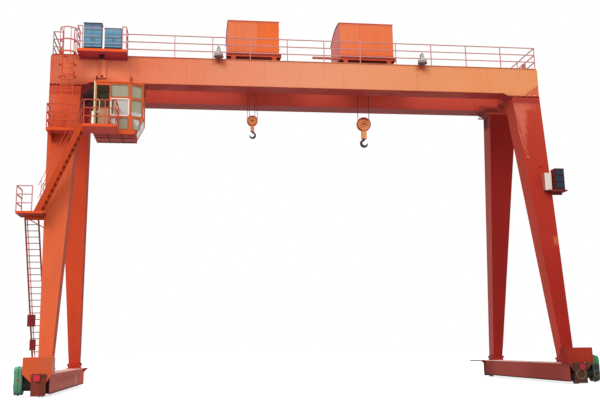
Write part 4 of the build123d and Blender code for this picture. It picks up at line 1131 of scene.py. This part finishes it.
TROLLEY_FRAME = Coat(
    "trolley_frame_paint", front=(206, 88, 56), side=(120, 44, 40), under=(90, 34, 34), top=(190, 80, 64),
    patches=(
        # Painted shadow: a dark band along the frame right beneath the house.
        Patch((128, 44, 40), (0.0, -1.33, 15.79), (8.0, 0.6, 0.07), edge=0.3, torn=0.3, share=0.9),
        Patch((196, 112, 98), (1.2, -1.0, 15.7), (0.72, 0.8, 0.3), edge=0.05, tones=ALL),
    ),
)
BLOCK_ORANGE = Coat(
    "hook_block_paint", front=(244, 150, 92), side=(170, 64, 46), under=(160, 60, 44), top=(176, 66, 54),
    patches=(
        Patch((206, 84, 60), (-2.36, -0.1, 13.06), (0.4, 0.3, 0.08), edge=0.4),
    ),
    specks=0.15,
)
STRIPES = tuple(
    Patch(
        (168, 64, 44),
        (3.27 + 0.02 * step, -0.1, 12.74 + 0.13 * step),
        (0.27, 0.3, 0.022),
        turn=24.0,
        edge=0.3,
    )
    for step in (-1, 0, 1)
)
BLOCK_STRIPED = Coat(
    "striped_block_paint", front=(246, 158, 98), side=(170, 60, 46), under=(160, 60, 44), top=(150, 46, 48),
    specks=0.15, patches=(*STRIPES, Patch((184, 46, 52), (3.27, -0.1, 13.06), (0.4, 0.3, 0.1), edge=0.2)),
)
BLOCK_RIM = Coat("block_rim_paint", front=(186, 62, 50), side=(160, 54, 46), gloss=0.5)
HOOK_STEEL = Coat("hook_forging", front=(66, 46, 48), grime=(100, 66, 54), specks=0.4, gloss=0.45, shine=0.2)
ROPE_STEEL = Coat("wire_rope", front=(112, 66, 60), specks=0.4, gloss=0.5)
LAMP_GREY = Coat(
    "lamp_shade", front=(178, 166, 158), side=(140, 128, 122), under=(110, 92, 84), top=(196, 188, 180),
    gloss=0.4,
)
LAMP_DARK = Coat("lamp_rim", front=(112, 84, 76), gloss=0.4)
BUFFER_RED = Coat(
    "buffer_rubber", front=(206, 52, 62), side=(160, 44, 48),
    patches=(
        # Painted shade on the right-hand buffers.
        Patch((140, 46, 48), tones=ALL, edge=0.02, **RIGHT_END_IN_SHADE),
    ),
    gloss=0.6,
)
PALE_BOX = Coat(
    "pale_box_paint", front=(224, 208, 194), side=(186, 96, 82), under=(150, 120, 110), grime=(150, 100, 80),
    streaks=0.3,
)
CABINET_DARK = Coat(
    "leg_cabinet_paint", front=(66, 32, 34), side=(118, 42, 40), under=(90, 34, 34), top=(92, 50, 50),
)
PANE_BLUE = Coat("leg_cabinet_pane", front=(34, 52, 66), gloss=0.3, shine=0.15, specks=0.05)
PANE_GLASS = Glass(
    "cab_pane", tint=(196, 186, 156), clearness=0.42,
    patches=(
        # Painted reflections: the near-white patches on the panes, in this and the next three patches.
        Patch((238, 232, 226), (-7.84, -2.56, 12.22), (0.34, 0.3, 0.13), edge=0.15, torn=0.2),
        Patch((240, 236, 228), (-7.74, -2.55, 11.98), (0.24, 0.3, 0.2), turn=35.0, edge=0.2, torn=0.2),
        Patch((238, 232, 226), (-8.8, -2.75, 11.9), (0.3, 0.2, 0.14), turn=-30.0, edge=0.3, torn=0.2),
        Patch((242, 240, 236), (-8.44, -2.75, 12.5), (0.3, 0.2, 0.5), turn=-6.0, edge=0.2, share=0.75),
        Patch((96, 66, 48), (-8.92, -2.75, 12.6), (0.1, 0.2, 0.4), edge=0.2, torn=0.3, share=0.8),
    ),
)
PALE_PANE = Coat("slope_pane", front=(212, 214, 218), gloss=0.2, shine=0.5, specks=0.02)
WHITE_FRAME = Coat("window_frame_white", front=(252, 236, 216), gloss=0.35)
GASKET = Coat("window_gasket", front=(186, 108, 72), side=(150, 84, 60), gloss=0.6)
GLAND = Coat("cable_gland", front=(46, 48, 60), gloss=0.6)
CONDUIT = Coat("conduit_paint", front=(222, 172, 168), side=(190, 140, 136), gloss=0.4)
CABLE = Coat("cable_jacket", front=(66, 42, 46), side=(56, 40, 44), under=(50, 36, 40), gloss=0.7)
LOCKER = Coat("locker_paint", front=(250, 212, 164), side=(214, 180, 140), top=(190, 160, 120))
SEAT_CLOTH = Coat("seat_cover", front=(60, 54, 46), gloss=0.8)
WORN_RIM = Coat("worn_rim", front=(122, 110, 96), grime=(90, 66, 50), specks=0.3, gloss=0.45)
PALE_STRIP = Coat("beam_edge_strip", front=(232, 196, 180), gloss=0.4)
DARK_STRIP = Coat("beam_low_strip", front=(62, 40, 36), gloss=0.6)


@dataclass
class Assembly:
    """A sub-assembly, which paints its own CAD nodes and fits its own pieces."""

    fitter: Fitter


@dataclass
class Girders(Assembly):
    """The two box girders, their rails, ties and handrails."""

    seams: tuple[float, ...] = (-8.2, -5.6, -1.9, 1.9, 5.6, 9.2)
    face: float = -1.93
    top: float = 15.27
    bottom: float = 13.935
    seam_gap: float = 0.03
    seat: float = 13.765
    seat_reach: Span = (10.06, 11.8)
    shim_depth: Span = (1.925, 1.99)
    bolt_line: float = 1.972
    bolt_inset: float = 0.08
    pads: tuple[float, ...] = (10.33, 10.62, 10.91, 11.2, 11.49)
    pad_length: float = 0.17
    pad_depth: Span = (-1.988, -1.966)
    pad_level: Span = (13.835, 13.88)

    def dress(self) -> None:
        """Paint the girders and fit their weld seams and seats."""
        self.fitter.paint(GIRDER_FACE, "front_girder")
        self.fitter.paint(DUCT, "cable_duct")
        self.fitter.paint(REAR_GIRDER, "rear_girder", "end_ties")
        self.fitter.paint(TRACK_STEEL, "trolley_rails")
        self.fitter.paint(RAIL, "walkway_railings")
        self._weld_seams()
        self._seats()

    def _weld_seams(self) -> None:
        """Run weld beads down the webs of both girders where their plates meet."""
        low, high = self.bottom + self.seam_gap, self.top - self.seam_gap
        spots = [(x, side * self.face) for x in self.seams for side in (1, -1)]
        chains = [[(x, y, low), (x, y, high)] for x, y in spots]
        self.fitter.beads("girder_weld_seams", chains, 0.007, GIRDER_FACE, "girder_orange", sides=6)

    def _seats(self) -> None:
        """Fit the dark shims, the rows of bolts and the pads where the girders sit on the legs."""
        shims, rows = [], []
        rise = (self.seat - 0.02, self.seat + 0.03)
        for side in SIDES:
            near, far = span(*self.seat_reach, side)
            for front in SIDES:
                shims.append(((near, far), span(*self.shim_depth, front), rise))
                ends = (near + self.bolt_inset, far - self.bolt_inset)
                rows.append([(x, front * self.bolt_line, self.seat + 0.05) for x in ends])
        self.fitter.blocks("seat_shims", shims, SEAM_RED, "dark_red", edge=0.003)
        pads = [((x, x + self.pad_length), self.pad_depth, self.pad_level) for x in self.pads]
        self.fitter.blocks("seat_pads", pads, SEAT_PAD, "girder_orange", edge=0.004)
        self.fitter.bolts("seat_bolts", rows, Facing.UP, SEAM_RED, "dark_red", spacing=0.15, height=0.06)


@dataclass
class Legs(Assembly):
    """The four tapered legs with their foot bolts."""

    beam_x: float = 11.09
    foot_y: Span = (3.755, 4.485)
    foot_half: float = 0.3
    bolt_level: float = 1.112

    def dress(self) -> None:
        """Paint each leg in its own tone, the right legs' darker tones being painted shade, and set the bolts
        on its foot plate.
        """
        self.fitter.paint(LEFT_LEG, "front_left_leg")
        self.fitter.paint(REAR_LEFT_LEG, "rear_left_leg")
        self.fitter.paint(RIGHT_LEG, "front_right_leg")
        self.fitter.paint(REAR_RIGHT_LEG, "rear_right_leg")
        loops = []
        for side in SIDES:
            low, high = side * self.beam_x - self.foot_half, side * self.beam_x + self.foot_half
            for end in SIDES:
                near, far = span(*self.foot_y, end)
                corners = ((low, near), (high, near), (high, far), (low, far))
                loops.append([(x, y, self.bolt_level) for x, y in corners])
        bolt = {"spacing": 0.16, "radius": 0.02, "height": 0.034}
        self.fitter.bolts("foot_bolts", loops, Facing.UP, SEAM_RED, "dark_red", closed=True, **bolt)


@dataclass
class RunningGear(Assembly):
    """Ground beams, wheels, end plates, buffers and travel drives."""

    wheels: tuple[str, ...] = ("front_left_wheel", "rear_left_wheel", "front_right_wheel", "rear_right_wheel")
    inner_face: float = 10.7545
    strip_depth: float = 0.008
    beam_end: float = 5.1
    top_strip: tuple[float, Span] = (-4.4, (0.864, 0.892))
    low_strip: tuple[float, Span] = (-4.9, (0.102, 0.15))
    bracket: tuple[Span, Span, Span] = ((11.43, 11.785), (-5.04, -4.78), (0.3, 0.82))
    hubs: tuple[tuple[Point, float], ...] = (((11.14, -5.372, 0.42), 0.2), ((11.955, -5.175, 0.43), 0.13))
    bolt_columns: Span = (10.92, 11.36)
    bolt_rise: Span = (0.16, 0.62)
    bolt_face: float = 5.368

    def dress(self) -> None:
        """Paint the running gear and fit its edge strips, bolts, brackets and hub rings."""
        self.fitter.paint(LEFT_BEAM, "left_ground_beam")
        self.fitter.paint(RIGHT_BEAM, "right_ground_beam")
        self.fitter.paint(HOOD, "drive_hoods")
        self.fitter.paint(DARK_STEEL, "axle_blocks", "gearbox_hubs")
        self.fitter.paint(WORN_STEEL, *self.wheels)
        self.fitter.paint(BROWN_PLATE, "end_plates")
        self.fitter.paint(BUFFER_RED, "buffers")
        self.fitter.paint(GEAR_GREEN, "travel_gearboxes")
        self._strips()
        self._bolts()
        self._brackets()

    def _strips(self) -> None:
        """Lay the pale and dark edge strips along the inner faces of the ground beams."""
        faces = [span(self.inner_face, self.inner_face - self.strip_depth, side) for side in SIDES]
        kinds = (
            ("beam_top_strips", self.top_strip, PALE_STRIP, "beam_red"),
            ("beam_low_strips", self.low_strip, DARK_STRIP, "dark_steel"),
        )
        for name, (start, rise), finish, slot in kinds:
            strips = [(face, (start, self.beam_end), rise) for face in faces]
            self.fitter.blocks(name, strips, finish, slot, edge=0.002)

    def _bolts(self) -> None:
        """Set the bolts of the end plates."""
        columns = [side * x for side in SIDES for x in self.bolt_columns]
        for facing in (Facing.FRONT, Facing.BACK):
            face = facing.value[1] * self.bolt_face
            rows = [[(x, face, level) for level in self.bolt_rise] for x in columns]
            name = f"end_plate_bolts_{facing.name.lower()}"
            bolt = {"spacing": 0.15, "radius": 0.017, "height": 0.02}
            self.fitter.bolts(name, rows, facing, DARK_RED, "dark_red", **bolt)

    def _brackets(self) -> None:
        """Fit the dark bearing brackets beside the gearboxes and the rings of the right-hand hubs."""
        across, depth, rise = self.bracket
        brackets = [(span(*across, side), depth, rise) for side in SIDES]
        self.fitter.blocks("gear_brackets", brackets, DARK_STEEL, "dark_steel", edge=0.02)
        loops = [ring(middle, Z_AXIS, radius) for middle, radius in self.hubs]
        self.fitter.beads("right_hub_rings", loops, 0.016, WORN_RIM, "worn_steel", closed=True)


@dataclass
class AccessWays(Assembly):
    """Ladders, landings, stair, their railings and the cabinet desk."""

    cabinets: tuple[Point, ...] = ((-10.24, -9.445, 16.49), (-9.31, -8.54, 16.26))
    cabinet_face: Span = (-2.754, -2.728)
    cabinet_back: float = -2.3
    bands: tuple[float, ...] = (15.54, 15.87, 16.24)
    band_steps: tuple[Span, ...] = ((-0.03, 0.03), (-0.075, -0.055))
    band_inset: float = 0.02
    sill: Span = (15.27, 15.365)
    handle: Span = (15.68, 15.8)
    gland: tuple[Point, Point] = ((-9.46, -2.3, 15.0), (-9.46, -2.3, 15.145))
    port: tuple[Point, Point] = ((-9.46, -1.99, 14.22), (-9.46, -2.02, 14.22))
    conduit: tuple[Point, Point] = ((-11.73, -2.79, 1.0), (-12.345, -2.79, 7.46))

    def dress(self) -> None:
        """Paint the ladders, platforms and stair, and fit the cabinets' bands and the conduits."""
        self.fitter.paint(RAIL, "landing_railing", "cabinet_railing")
        self.fitter.paint(LANDING_RAIL, "stair_handrails", "platform_railing")
        self.fitter.paint(CAGE, "ladder_cage")
        self.fitter.paint(LADDER, "lower_ladder", "upper_ladder")
        self.fitter.paint(DARK_RED, "ladder_boxes")
        self.fitter.paint(STAIR, "stair_stringers", "stair_treads")
        self.fitter.paint(PLATFORM, "landing", "upper_platform")
        self.fitter.paint(DESK, "cabinet_platform")
        self.fitter.paint(CABINET, "control_cabinets")
        self._cabinet_bands()
        self._conduits()

    def _cabinet_bands(self) -> None:
        """Fit the raised bands, the dark sills and the handles of the control cabinets."""
        bars, sills, handles = [], [], []
        face, behind = self.cabinet_face
        for low, high, top in self.cabinets:
            width = (low + self.band_inset, high - self.band_inset)
            for level in self.bands:
                if level < top - 0.1:
                    rises = ((level + low_side, level + high_side) for low_side, high_side in self.band_steps)
                    bars.extend((width, self.cabinet_face, rise) for rise in rises)
            sills.append(((low, high), (face, self.cabinet_back), self.sill))
            for place in ((low + high) / 2 - 0.06, (low + high) / 2 + 0.06):
                handles.append(((place - 0.012, place + 0.012), (face - 0.03, behind), self.handle))
        self.fitter.blocks("cabinet_bands", bars, CABINET_BAND, "cabinet_grey", edge=0.006)
        self.fitter.blocks("cabinet_sills", sills, CABINET_TRIM, "dark_steel", edge=0.004)
        self.fitter.blocks("cabinet_handles", handles, CABINET_BAND, "cabinet_grey", edge=0.004)

    def _conduits(self) -> None:
        """Fit the cable gland under the desk, the duct's port and the conduit beside the lower ladder."""
        self.fitter.beads("cable_gland", [self.gland], 0.115, GLAND, "dark_steel", sides=20)
        self.fitter.beads("duct_port", [self.port], 0.05, GLAND, "dark_steel", sides=16)
        self.fitter.beads("ladder_conduit", [self.conduit], 0.024, CONDUIT, "cab_trim", sides=10)


@dataclass
class Cab(Assembly):
    """The operator's cab with its windows and door."""

    front: float = -2.75
    front_column: Span = (-8.945, -8.16)
    rows: tuple[Span, ...] = ((13.007, 13.6), (12.134, 12.916), (11.503, 12.045))
    white_row: int = 1
    corner_widths: tuple[float, ...] = (0.56, 0.56, 0.38)
    corner_middle: Span = (-7.82, -2.575)
    corner_run: Point = (0.6, 0.35, 0)
    gasket_lift: float = 0.006
    radius: float = 0.08
    slope_top: Point = (-7.52, 0, 12.06)
    slope_foot: Point = (-7.86, 0, 11.4)
    slope_rim: float = 0.06
    slope_width: tuple[Span, Span] = ((-2.3, -1.35), (-1.35, -2.12))
    handle_root: Span = (-9.583, -3.2)
    handle_rise: Span = (12.14, 12.74)
    handle_reach: float = 0.19
    handle_bend: float = 0.09
    # Outline of the dark cable tray: a dark sheet that carries the conduits and also stands in for the shade
    # in the gap between the leg and the cab.
    tray_y: float = -1.99
    tray: tuple[Span, ...] = (
        (-10.3, 12.75),
        (-10.3, 13.35),
        (-9.98, 13.62),
        (-9.72, 13.62),
        (-9.72, 12.9),
        (-9.95, 12.75),
    )
    tube_count: int = 4
    tube_step: float = 0.09

    def dress(self) -> None:
        """Paint the cab and fit its gaskets, slope pane, floor ribs, inside, handle and cables."""
        self.fitter.paint(CAB_SHELL, "cab_shell", "cab_roof")
        self.fitter.paint(CAB_TRIM, "cab_floor")
        self.fitter.paint(DARK_RED, "cab_hangers", "door_knuckles")
        self.fitter.paint(DOOR_YELLOW, "cab_door")
        self.fitter.paint(PANE_GLASS, "cab_glass")
        self._gaskets()
        self._slope_pane()
        self._ribs()
        self._inside()
        self._handle()
        self._cables()

    def _gaskets(self) -> None:
        """Run a gasket round each window, and the white frame round the middle front one."""
        loops, white = [], []
        along = Vector(self.corner_run).normalized()
        outward = Vector((along.y, -along.x, 0))
        left, right = self.front_column
        for place, ((low, high), width) in enumerate(zip(self.rows, self.corner_widths)):
            level, tall = (low + high) / 2, high - low
            spot = ((left + right) / 2, self.front - self.gasket_lift, level)
            front_loops = white if place == self.white_row else loops
            front_loops.append(rounded_loop(spot, X_AXIS, (right - left, tall), self.radius))
            corner = Vector((*self.corner_middle, level)) + outward * self.gasket_lift
            loops.append(rounded_loop(corner, along, (width, tall), self.radius))
        self.fitter.beads("window_gaskets", loops, 0.017, GASKET, "cab_trim", closed=True)
        self.fitter.beads("window_frame", white, 0.03, WHITE_FRAME, "cab_trim", closed=True, sides=10)

    def _slope_pane(self) -> None:
        """Set the pale pane on the sloping lower part of the cab's right side."""
        top = Vector(self.slope_top)
        down = Vector(self.slope_foot) - top
        outward = Vector((-down.z, 0, down.x)).normalized()
        edges = [top + down * share + outward * 0.001 for share in (self.slope_rim, 1 - self.slope_rim)]
        outline = [(edge.x, y, edge.z) for edge, width in zip(edges, self.slope_width) for y in width]
        self.fitter.prism("cab_slope_pane", outline, tuple(outward * 0.012), PALE_PANE, "glass")

    def _ribs(self) -> None:
        """Lay the ribs under the cab's floor pan."""
        strips = [((-9.64, -7.92), (y, y + 0.1), (11.262, 11.282)) for y in (-2.1, -1.35)]
        strips += [((x, x + 0.05), (-2.7, -1.12), (11.266, 11.282)) for x in (-9.1, -8.5)]
        self.fitter.blocks("cab_floor_ribs", strips, SEAM_RED, "dark_red", edge=0.004)

    def _inside(self) -> None:
        """Stand the pale locker inside the doorway and the seat behind the front window."""
        case = ((-9.56, -9.07), (-2.42, -2.05), (11.47, 12.56))
        case_door = ((-9.54, -9.09), (-2.43, -2.4), (11.6, 12.5))
        self.fitter.blocks("cab_locker", [case, case_door], LOCKER, "cab_trim", edge=0.01)
        width = (-8.75, -8.25)
        cushion = (width, (-2.1, -1.6), (11.9, 12.0))
        backrest = (width, (-1.68, -1.58), (12.0, 12.7))
        post = ((-8.55, -8.45), (-1.9, -1.8), (11.46, 11.9))
        self.fitter.blocks("cab_seat", [cushion, backrest, post], SEAT_CLOTH, "dark_steel", edge=0.03)

    def _handle(self) -> None:
        """Bend the loop handle of the door leaf."""
        side, y = self.handle_root
        low, high = self.handle_rise
        bend = self.handle_bend
        middle = side + self.handle_reach - bend
        upper = arc((middle, high - bend), bend, 90, -90, steps=6)
        lower = arc((middle, low + bend), bend, 0, -90, steps=6)
        loop = [(x, y, z) for x, z in ((side, high), *upper, *lower, (side, low))]
        self.fitter.beads("door_handle", [loop], 0.018, DOOR_YELLOW, "door_yellow", body="cab_door")

    def _cables(self) -> None:
        """Lay the dark cable tray between the leg and the cab, which also stands in for the shade in that
        gap, and its conduits.
        """
        outline = [(x, self.tray_y, z) for x, z in self.tray]
        self.fitter.prism("cable_tray_and_shade", outline, (0, 0.05, 0), CABLE, "dark_steel")
        tubes = []
        for shift in (self.tube_step * step for step in range(self.tube_count)):
            start = [(-10.28, -2.03, 12.85 + shift), (-10.1, -2.05, 13.02 + shift)]
            end = [(-9.9, -2.05, 13.12 + shift * 0.8), (-9.7, -2.03, 13.14 + shift * 0.8)]
            tubes.append(start + end)
        self.fitter.beads("cab_conduits", tubes, 0.028, CABLE, "dark_steel")


@dataclass
class Fittings(Assembly):
    """Floodlights and the boxes on the right leg."""

    lamps: tuple[float, ...] = (-4.1, 5.8)
    lamp_y: float = -2.23
    fin_levels: Span = (15.5, 15.56)
    pane: tuple[Span, Span] = ((11.7, 12.06), (-3.309, -3.297))
    pane_feet: Point = (8.92, 9.23, 9.54)
    pane_height: float = 0.24
    hinge: tuple[Span, Span] = ((12.105, 12.119), (-3.29, -3.23))
    hinge_feet: Point = (9.0, 9.36, 9.72)
    hinge_height: float = 0.06

    def _rings(self, radius: float, *levels: float) -> list[list[Point]]:
        """Give level rings round each lamp's axis."""
        return [ring((x, self.lamp_y, level), Y_AXIS, radius) for x in self.lamps for level in levels]

    def dress(self) -> None:
        """Paint the lamps and boxes, and fit the lamps' rims and fins and the cabinet's panes and hinges."""
        self.fitter.paint(LAMP_GREY, "floodlights")
        self.fitter.paint(DARK_RED, "light_brackets", "leg_shelf")
        self.fitter.paint(CABINET_DARK, "leg_cabinet")
        self.fitter.paint(PALE_BOX, "leg_box")
        self.fitter.beads("lamp_rims", self._rings(0.218, 15.262), 0.018, LAMP_DARK, "lamp_grey", closed=True)
        bells = self._rings(0.13, 15.37)
        self.fitter.beads("lamp_bells", bells, 0.09, LAMP_GREY, "lamp_grey", closed=True, sides=14)
        fins = self._rings(0.085, *self.fin_levels)
        self.fitter.beads("lamp_fins", fins, 0.02, LAMP_GREY, "lamp_grey", closed=True)
        panes = [(*self.pane, (foot, foot + self.pane_height)) for foot in self.pane_feet]
        self.fitter.blocks("leg_cabinet_panes", panes, PANE_BLUE, "glass", edge=0.003)
        hinges = [(*self.hinge, (foot, foot + self.hinge_height)) for foot in self.hinge_feet]
        self.fitter.blocks("leg_cabinet_hinges", hinges, DARK_RED, "dark_red", edge=0.002)


@dataclass
class Trolley(Assembly):
    """One trolley with its house, sheaves, ropes, block and hook."""

    number: int
    middle: float
    length: float
    eave: float
    block_paint: Coat
    seam_share: float
    contrast: float
    block: Span
    rope_reach: Span
    rope_lines: Span = (-0.03, 0.03)
    head: float = 15.53
    house_face: float = -1.302
    trim_depth: Span = (-1.312, -1.296)
    knob_levels: Point = (16.1, 16.6, 17.1)
    rib_shares: tuple[float, ...] = (0.14, 0.28, 0.42, 0.72, 0.86)

    @property
    def left(self) -> float:
        """Give the house's left end."""
        return self.middle - self.length / 2

    @property
    def right(self) -> float:
        """Give the house's right end."""
        return self.left + self.length

    @property
    def seam(self) -> float:
        """Give the place of the house's upright seam."""
        return self.left + self.seam_share * self.length

    def node(self, part: str) -> str:
        """Give the name of one of this trolley's CAD nodes or pieces."""
        return f"trolley_{self.number}_{part}"

    def dress(self) -> None:
        """Paint the trolley and fit the details of its house and block, and its ropes."""
        house = house_coat(self.node("house_paint"), self.seam, self.right, self.eave, self.contrast)
        self.fitter.paint(TROLLEY_FRAME, self.node("frame"))
        self.fitter.paint(DARK_STEEL, self.node("gear"))
        self.fitter.paint(house, self.node("house"))
        self.fitter.paint(self.block_paint, self.node("block"))
        self.fitter.paint(HOOK_STEEL, self.node("hook"))
        self._house_details(house)
        self._block_details()
        self._ropes()

    def _ropes(self) -> None:
        """Hang the ropes from trolley to hook block in place of the CAD ropes, riding on no body."""
        level = self.block[0]
        lines = zip(self.rope_lines, self.rope_reach)
        spots = [(self.middle + side * reach, y) for y, reach in lines for side in SIDES]
        chains = [[(x, y, level), (x, y, self.head)] for x, y in spots]
        name = self.node("hoist_ropes")
        ropes = self.fitter.beads(name, chains, 0.012, ROPE_STEEL, "rope_steel", body=None, sides=12)
        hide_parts(self.node("ropes"))
        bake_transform(ropes)

    def _house_details(self, paint: Coat) -> None:
        """Fit the upright seams and ribs, the sill, the corner knobs and the drip edge.

        Args:
            paint: the house's finish.
        """
        body = f"trolley_{self.number}"
        left, right, face = self.left, self.right, self.house_face
        sides = ((face, self.eave - 0.05), (-face, self.eave - 0.34))
        seams = [[(self.seam, y, 15.86), (self.seam, y, top)] for y, top in sides]
        self.fitter.beads(self.node("house_seams"), seams, 0.012, paint, "house_orange", body=body, sides=6)
        sill = [((left, right), self.trim_depth, (15.832, 15.872))]
        self.fitter.blocks(self.node("house_sill"), sill, SEAM_RED, "dark_red", body=body, edge=0.003)
        out = (right - 0.002, right + 0.03)
        knobs = [(out, (-1.2, -1.14), (level, level + 0.06)) for level in self.knob_levels]
        self.fitter.blocks(self.node("house_knobs"), knobs, DARK_RED, "dark_red", body=body, edge=0.005)
        places = [left + share * self.length for share in self.rib_shares]
        ribs = [[(x, face + 0.001, 15.9), (x, face + 0.001, self.eave - 0.12)] for x in places]
        self.fitter.beads(self.node("house_ribs"), ribs, 0.006, paint, "house_orange", body=body, sides=6)
        drip = [((left - 0.01, right + 0.01), (-1.318, -1.296), (self.eave - 0.045, self.eave - 0.015))]
        self.fitter.blocks(self.node("house_drip"), drip, paint, "house_orange", body=body, edge=0.004)

    def _block_details(self) -> None:
        """Fit the rims and the axle nuts on the cheeks of the hook block."""
        level, radius = self.block
        body = f"hook_block_{self.number}"
        rims = [ring((self.middle, side * 0.09, level), Z_AXIS, radius - 0.02, 36) for side in SIDES]
        self.fitter.beads(self.node("block_rims"), rims, 0.02, BLOCK_RIM, "block_yellow", body, closed=True)
        nuts = [[(self.middle, side * out, level) for out in (0.085, 0.125)] for side in SIDES]
        self.fitter.beads(self.node("block_nuts"), nuts, 0.05, BLOCK_RIM, "block_yellow", body=body, sides=6)


@dataclass(frozen=True)
class Studio:
    """Camera, light, floor and backdrop."""

    eye: Point = (-5.2927, -38.0403, 1.7171)
    yaw: float = 7.8612
    pitch: float = 10.5219
    roll: float = -0.9925
    focal_px: float = 796.3227
    sky_strength: float = 1.12
    sky_colour: Rgb = (246, 248, 255)
    sun_strength: float = 1.15
    sun_from: Point = (-0.45, -0.8, 0.62)
    sun_angle: float = 24.0
    floor_half: float = 400.0
    floor_colour: Rgb = (170, 170, 170)
    floor_glow: float = 0.75

    def set_camera(self) -> None:
        """Set the camera at the photograph's viewpoint."""
        yaw, pitch, roll = (math.radians(value) for value in (self.yaw, self.pitch, self.roll))
        ahead = Vector((math.sin(yaw) * math.cos(pitch), math.cos(yaw) * math.cos(pitch), math.sin(pitch)))
        right = Vector((math.cos(yaw), -math.sin(yaw), 0))
        up = right.cross(ahead)
        turned_right = right * math.cos(roll) + up * math.sin(roll)
        turned_up = up * math.cos(roll) - right * math.sin(roll)
        lens = bpy.data.cameras.new("camera")
        lens.sensor_width = SENSOR_WIDTH
        lens.lens = self.focal_px * SENSOR_WIDTH / IMAGE_WIDTH
        lens.clip_end = 1000
        camera = bpy.data.objects.new("camera", lens)
        axes = Matrix((turned_right, turned_up, -ahead)).transposed().to_4x4()
        camera.matrix_world = Matrix.Translation(self.eye) @ axes
        bpy.context.scene.collection.objects.link(camera)
        bpy.context.scene.camera = camera

    def set_sky(self) -> None:
        """Make a soft sky that shows as plain white."""
        world = bpy.data.worlds.new("sky")
        world.use_nodes = True
        bpy.context.scene.world = world
        sheet = NodeSheet(world.node_tree)
        shown = sheet.plain_rays()
        colour = sheet.mix(shown, linear(self.sky_colour), WHITE)
        share = sheet.math("MULTIPLY", sheet.math("SUBTRACT", 1.0, shown), self.sky_strength)
        light = sheet.add("ShaderNodeBackground", i_Color=colour, i_Strength=sheet.math("ADD", shown, share))
        sheet.add("ShaderNodeOutputWorld", i_Surface=light.outputs[0])

    def set_sun(self) -> None:
        """Hang a weak, soft sun."""
        lamp = bpy.data.lights.new("sun", "SUN")
        lamp.energy = self.sun_strength
        lamp.angle = math.radians(self.sun_angle)
        sun = bpy.data.objects.new("sun", lamp)
        sun.rotation_euler = Vector(self.sun_from).to_track_quat("Z", "Y").to_euler()
        bpy.context.scene.collection.objects.link(sun)

    def lay_floor(self) -> None:
        """Lay a pale floor that shows white and keeps the crane's shadow."""
        reach = self.floor_half
        mesh = bpy.data.meshes.new("floor")
        corners = [(-reach, -reach, 0), (reach, -reach, 0), (reach, reach, 0), (-reach, reach, 0)]
        mesh.from_pydata(corners, [], [(0, 1, 2, 3)])
        paint, sheet = open_material("floor")
        base = sheet.add("ShaderNodeBsdfDiffuse", i_Color=linear(self.floor_colour))
        strength = sheet.math("MULTIPLY", sheet.plain_rays(), self.floor_glow)
        glow = sheet.add("ShaderNodeEmission", i_Strength=strength)
        both = sheet.add("ShaderNodeAddShader", i_0=base.outputs[0], i_1=glow.outputs[0])
        sheet.add("ShaderNodeOutputMaterial", i_Surface=both.outputs[0])
        mesh.materials.append(paint)
        floor = bpy.data.objects.new("floor", mesh)
        bpy.context.scene.collection.objects.link(floor)

    def build(self) -> None:
        """Set up the studio."""
        self.set_camera()
        self.set_sky()
        self.set_sun()
        self.lay_floor()
        bpy.context.scene.view_settings.view_transform = "Standard"


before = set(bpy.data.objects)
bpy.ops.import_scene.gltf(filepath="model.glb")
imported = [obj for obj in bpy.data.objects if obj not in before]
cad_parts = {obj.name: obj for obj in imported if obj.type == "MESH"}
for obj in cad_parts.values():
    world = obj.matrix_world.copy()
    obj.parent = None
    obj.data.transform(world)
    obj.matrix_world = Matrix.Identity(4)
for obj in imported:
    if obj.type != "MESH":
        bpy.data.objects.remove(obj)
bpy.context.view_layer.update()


def main() -> None:
    """Dress the crane, sub-assembly by sub-assembly, and set up the studio."""
    logging.basicConfig(level=logging.INFO, format="%(name)s: %(message)s")
    fitter = Fitter(SharedEffects())
    left = Trolley(
        fitter,
        number=1,
        middle=-2.36,
        length=2.48,
        eave=17.535,
        block_paint=BLOCK_ORANGE,
        seam_share=0.57,
        contrast=0.9,
        block=(12.81, 0.26),
        rope_reach=(0.247, 0.139),
    )
    right = Trolley(
        fitter,
        number=2,
        middle=3.27,
        length=2.69,
        eave=17.62,
        block_paint=BLOCK_STRIPED,
        seam_share=0.37,
        contrast=0.25,
        block=(12.755, 0.355),
        rope_reach=(0.284, 0.284),
    )
    kinds = (Girders, Legs, RunningGear, AccessWays, Cab, Fittings)
    for assembly in (*(kind(fitter) for kind in kinds), left, right):
        assembly.dress()
    Studio().build()


if __name__ == "__main__":
    main()
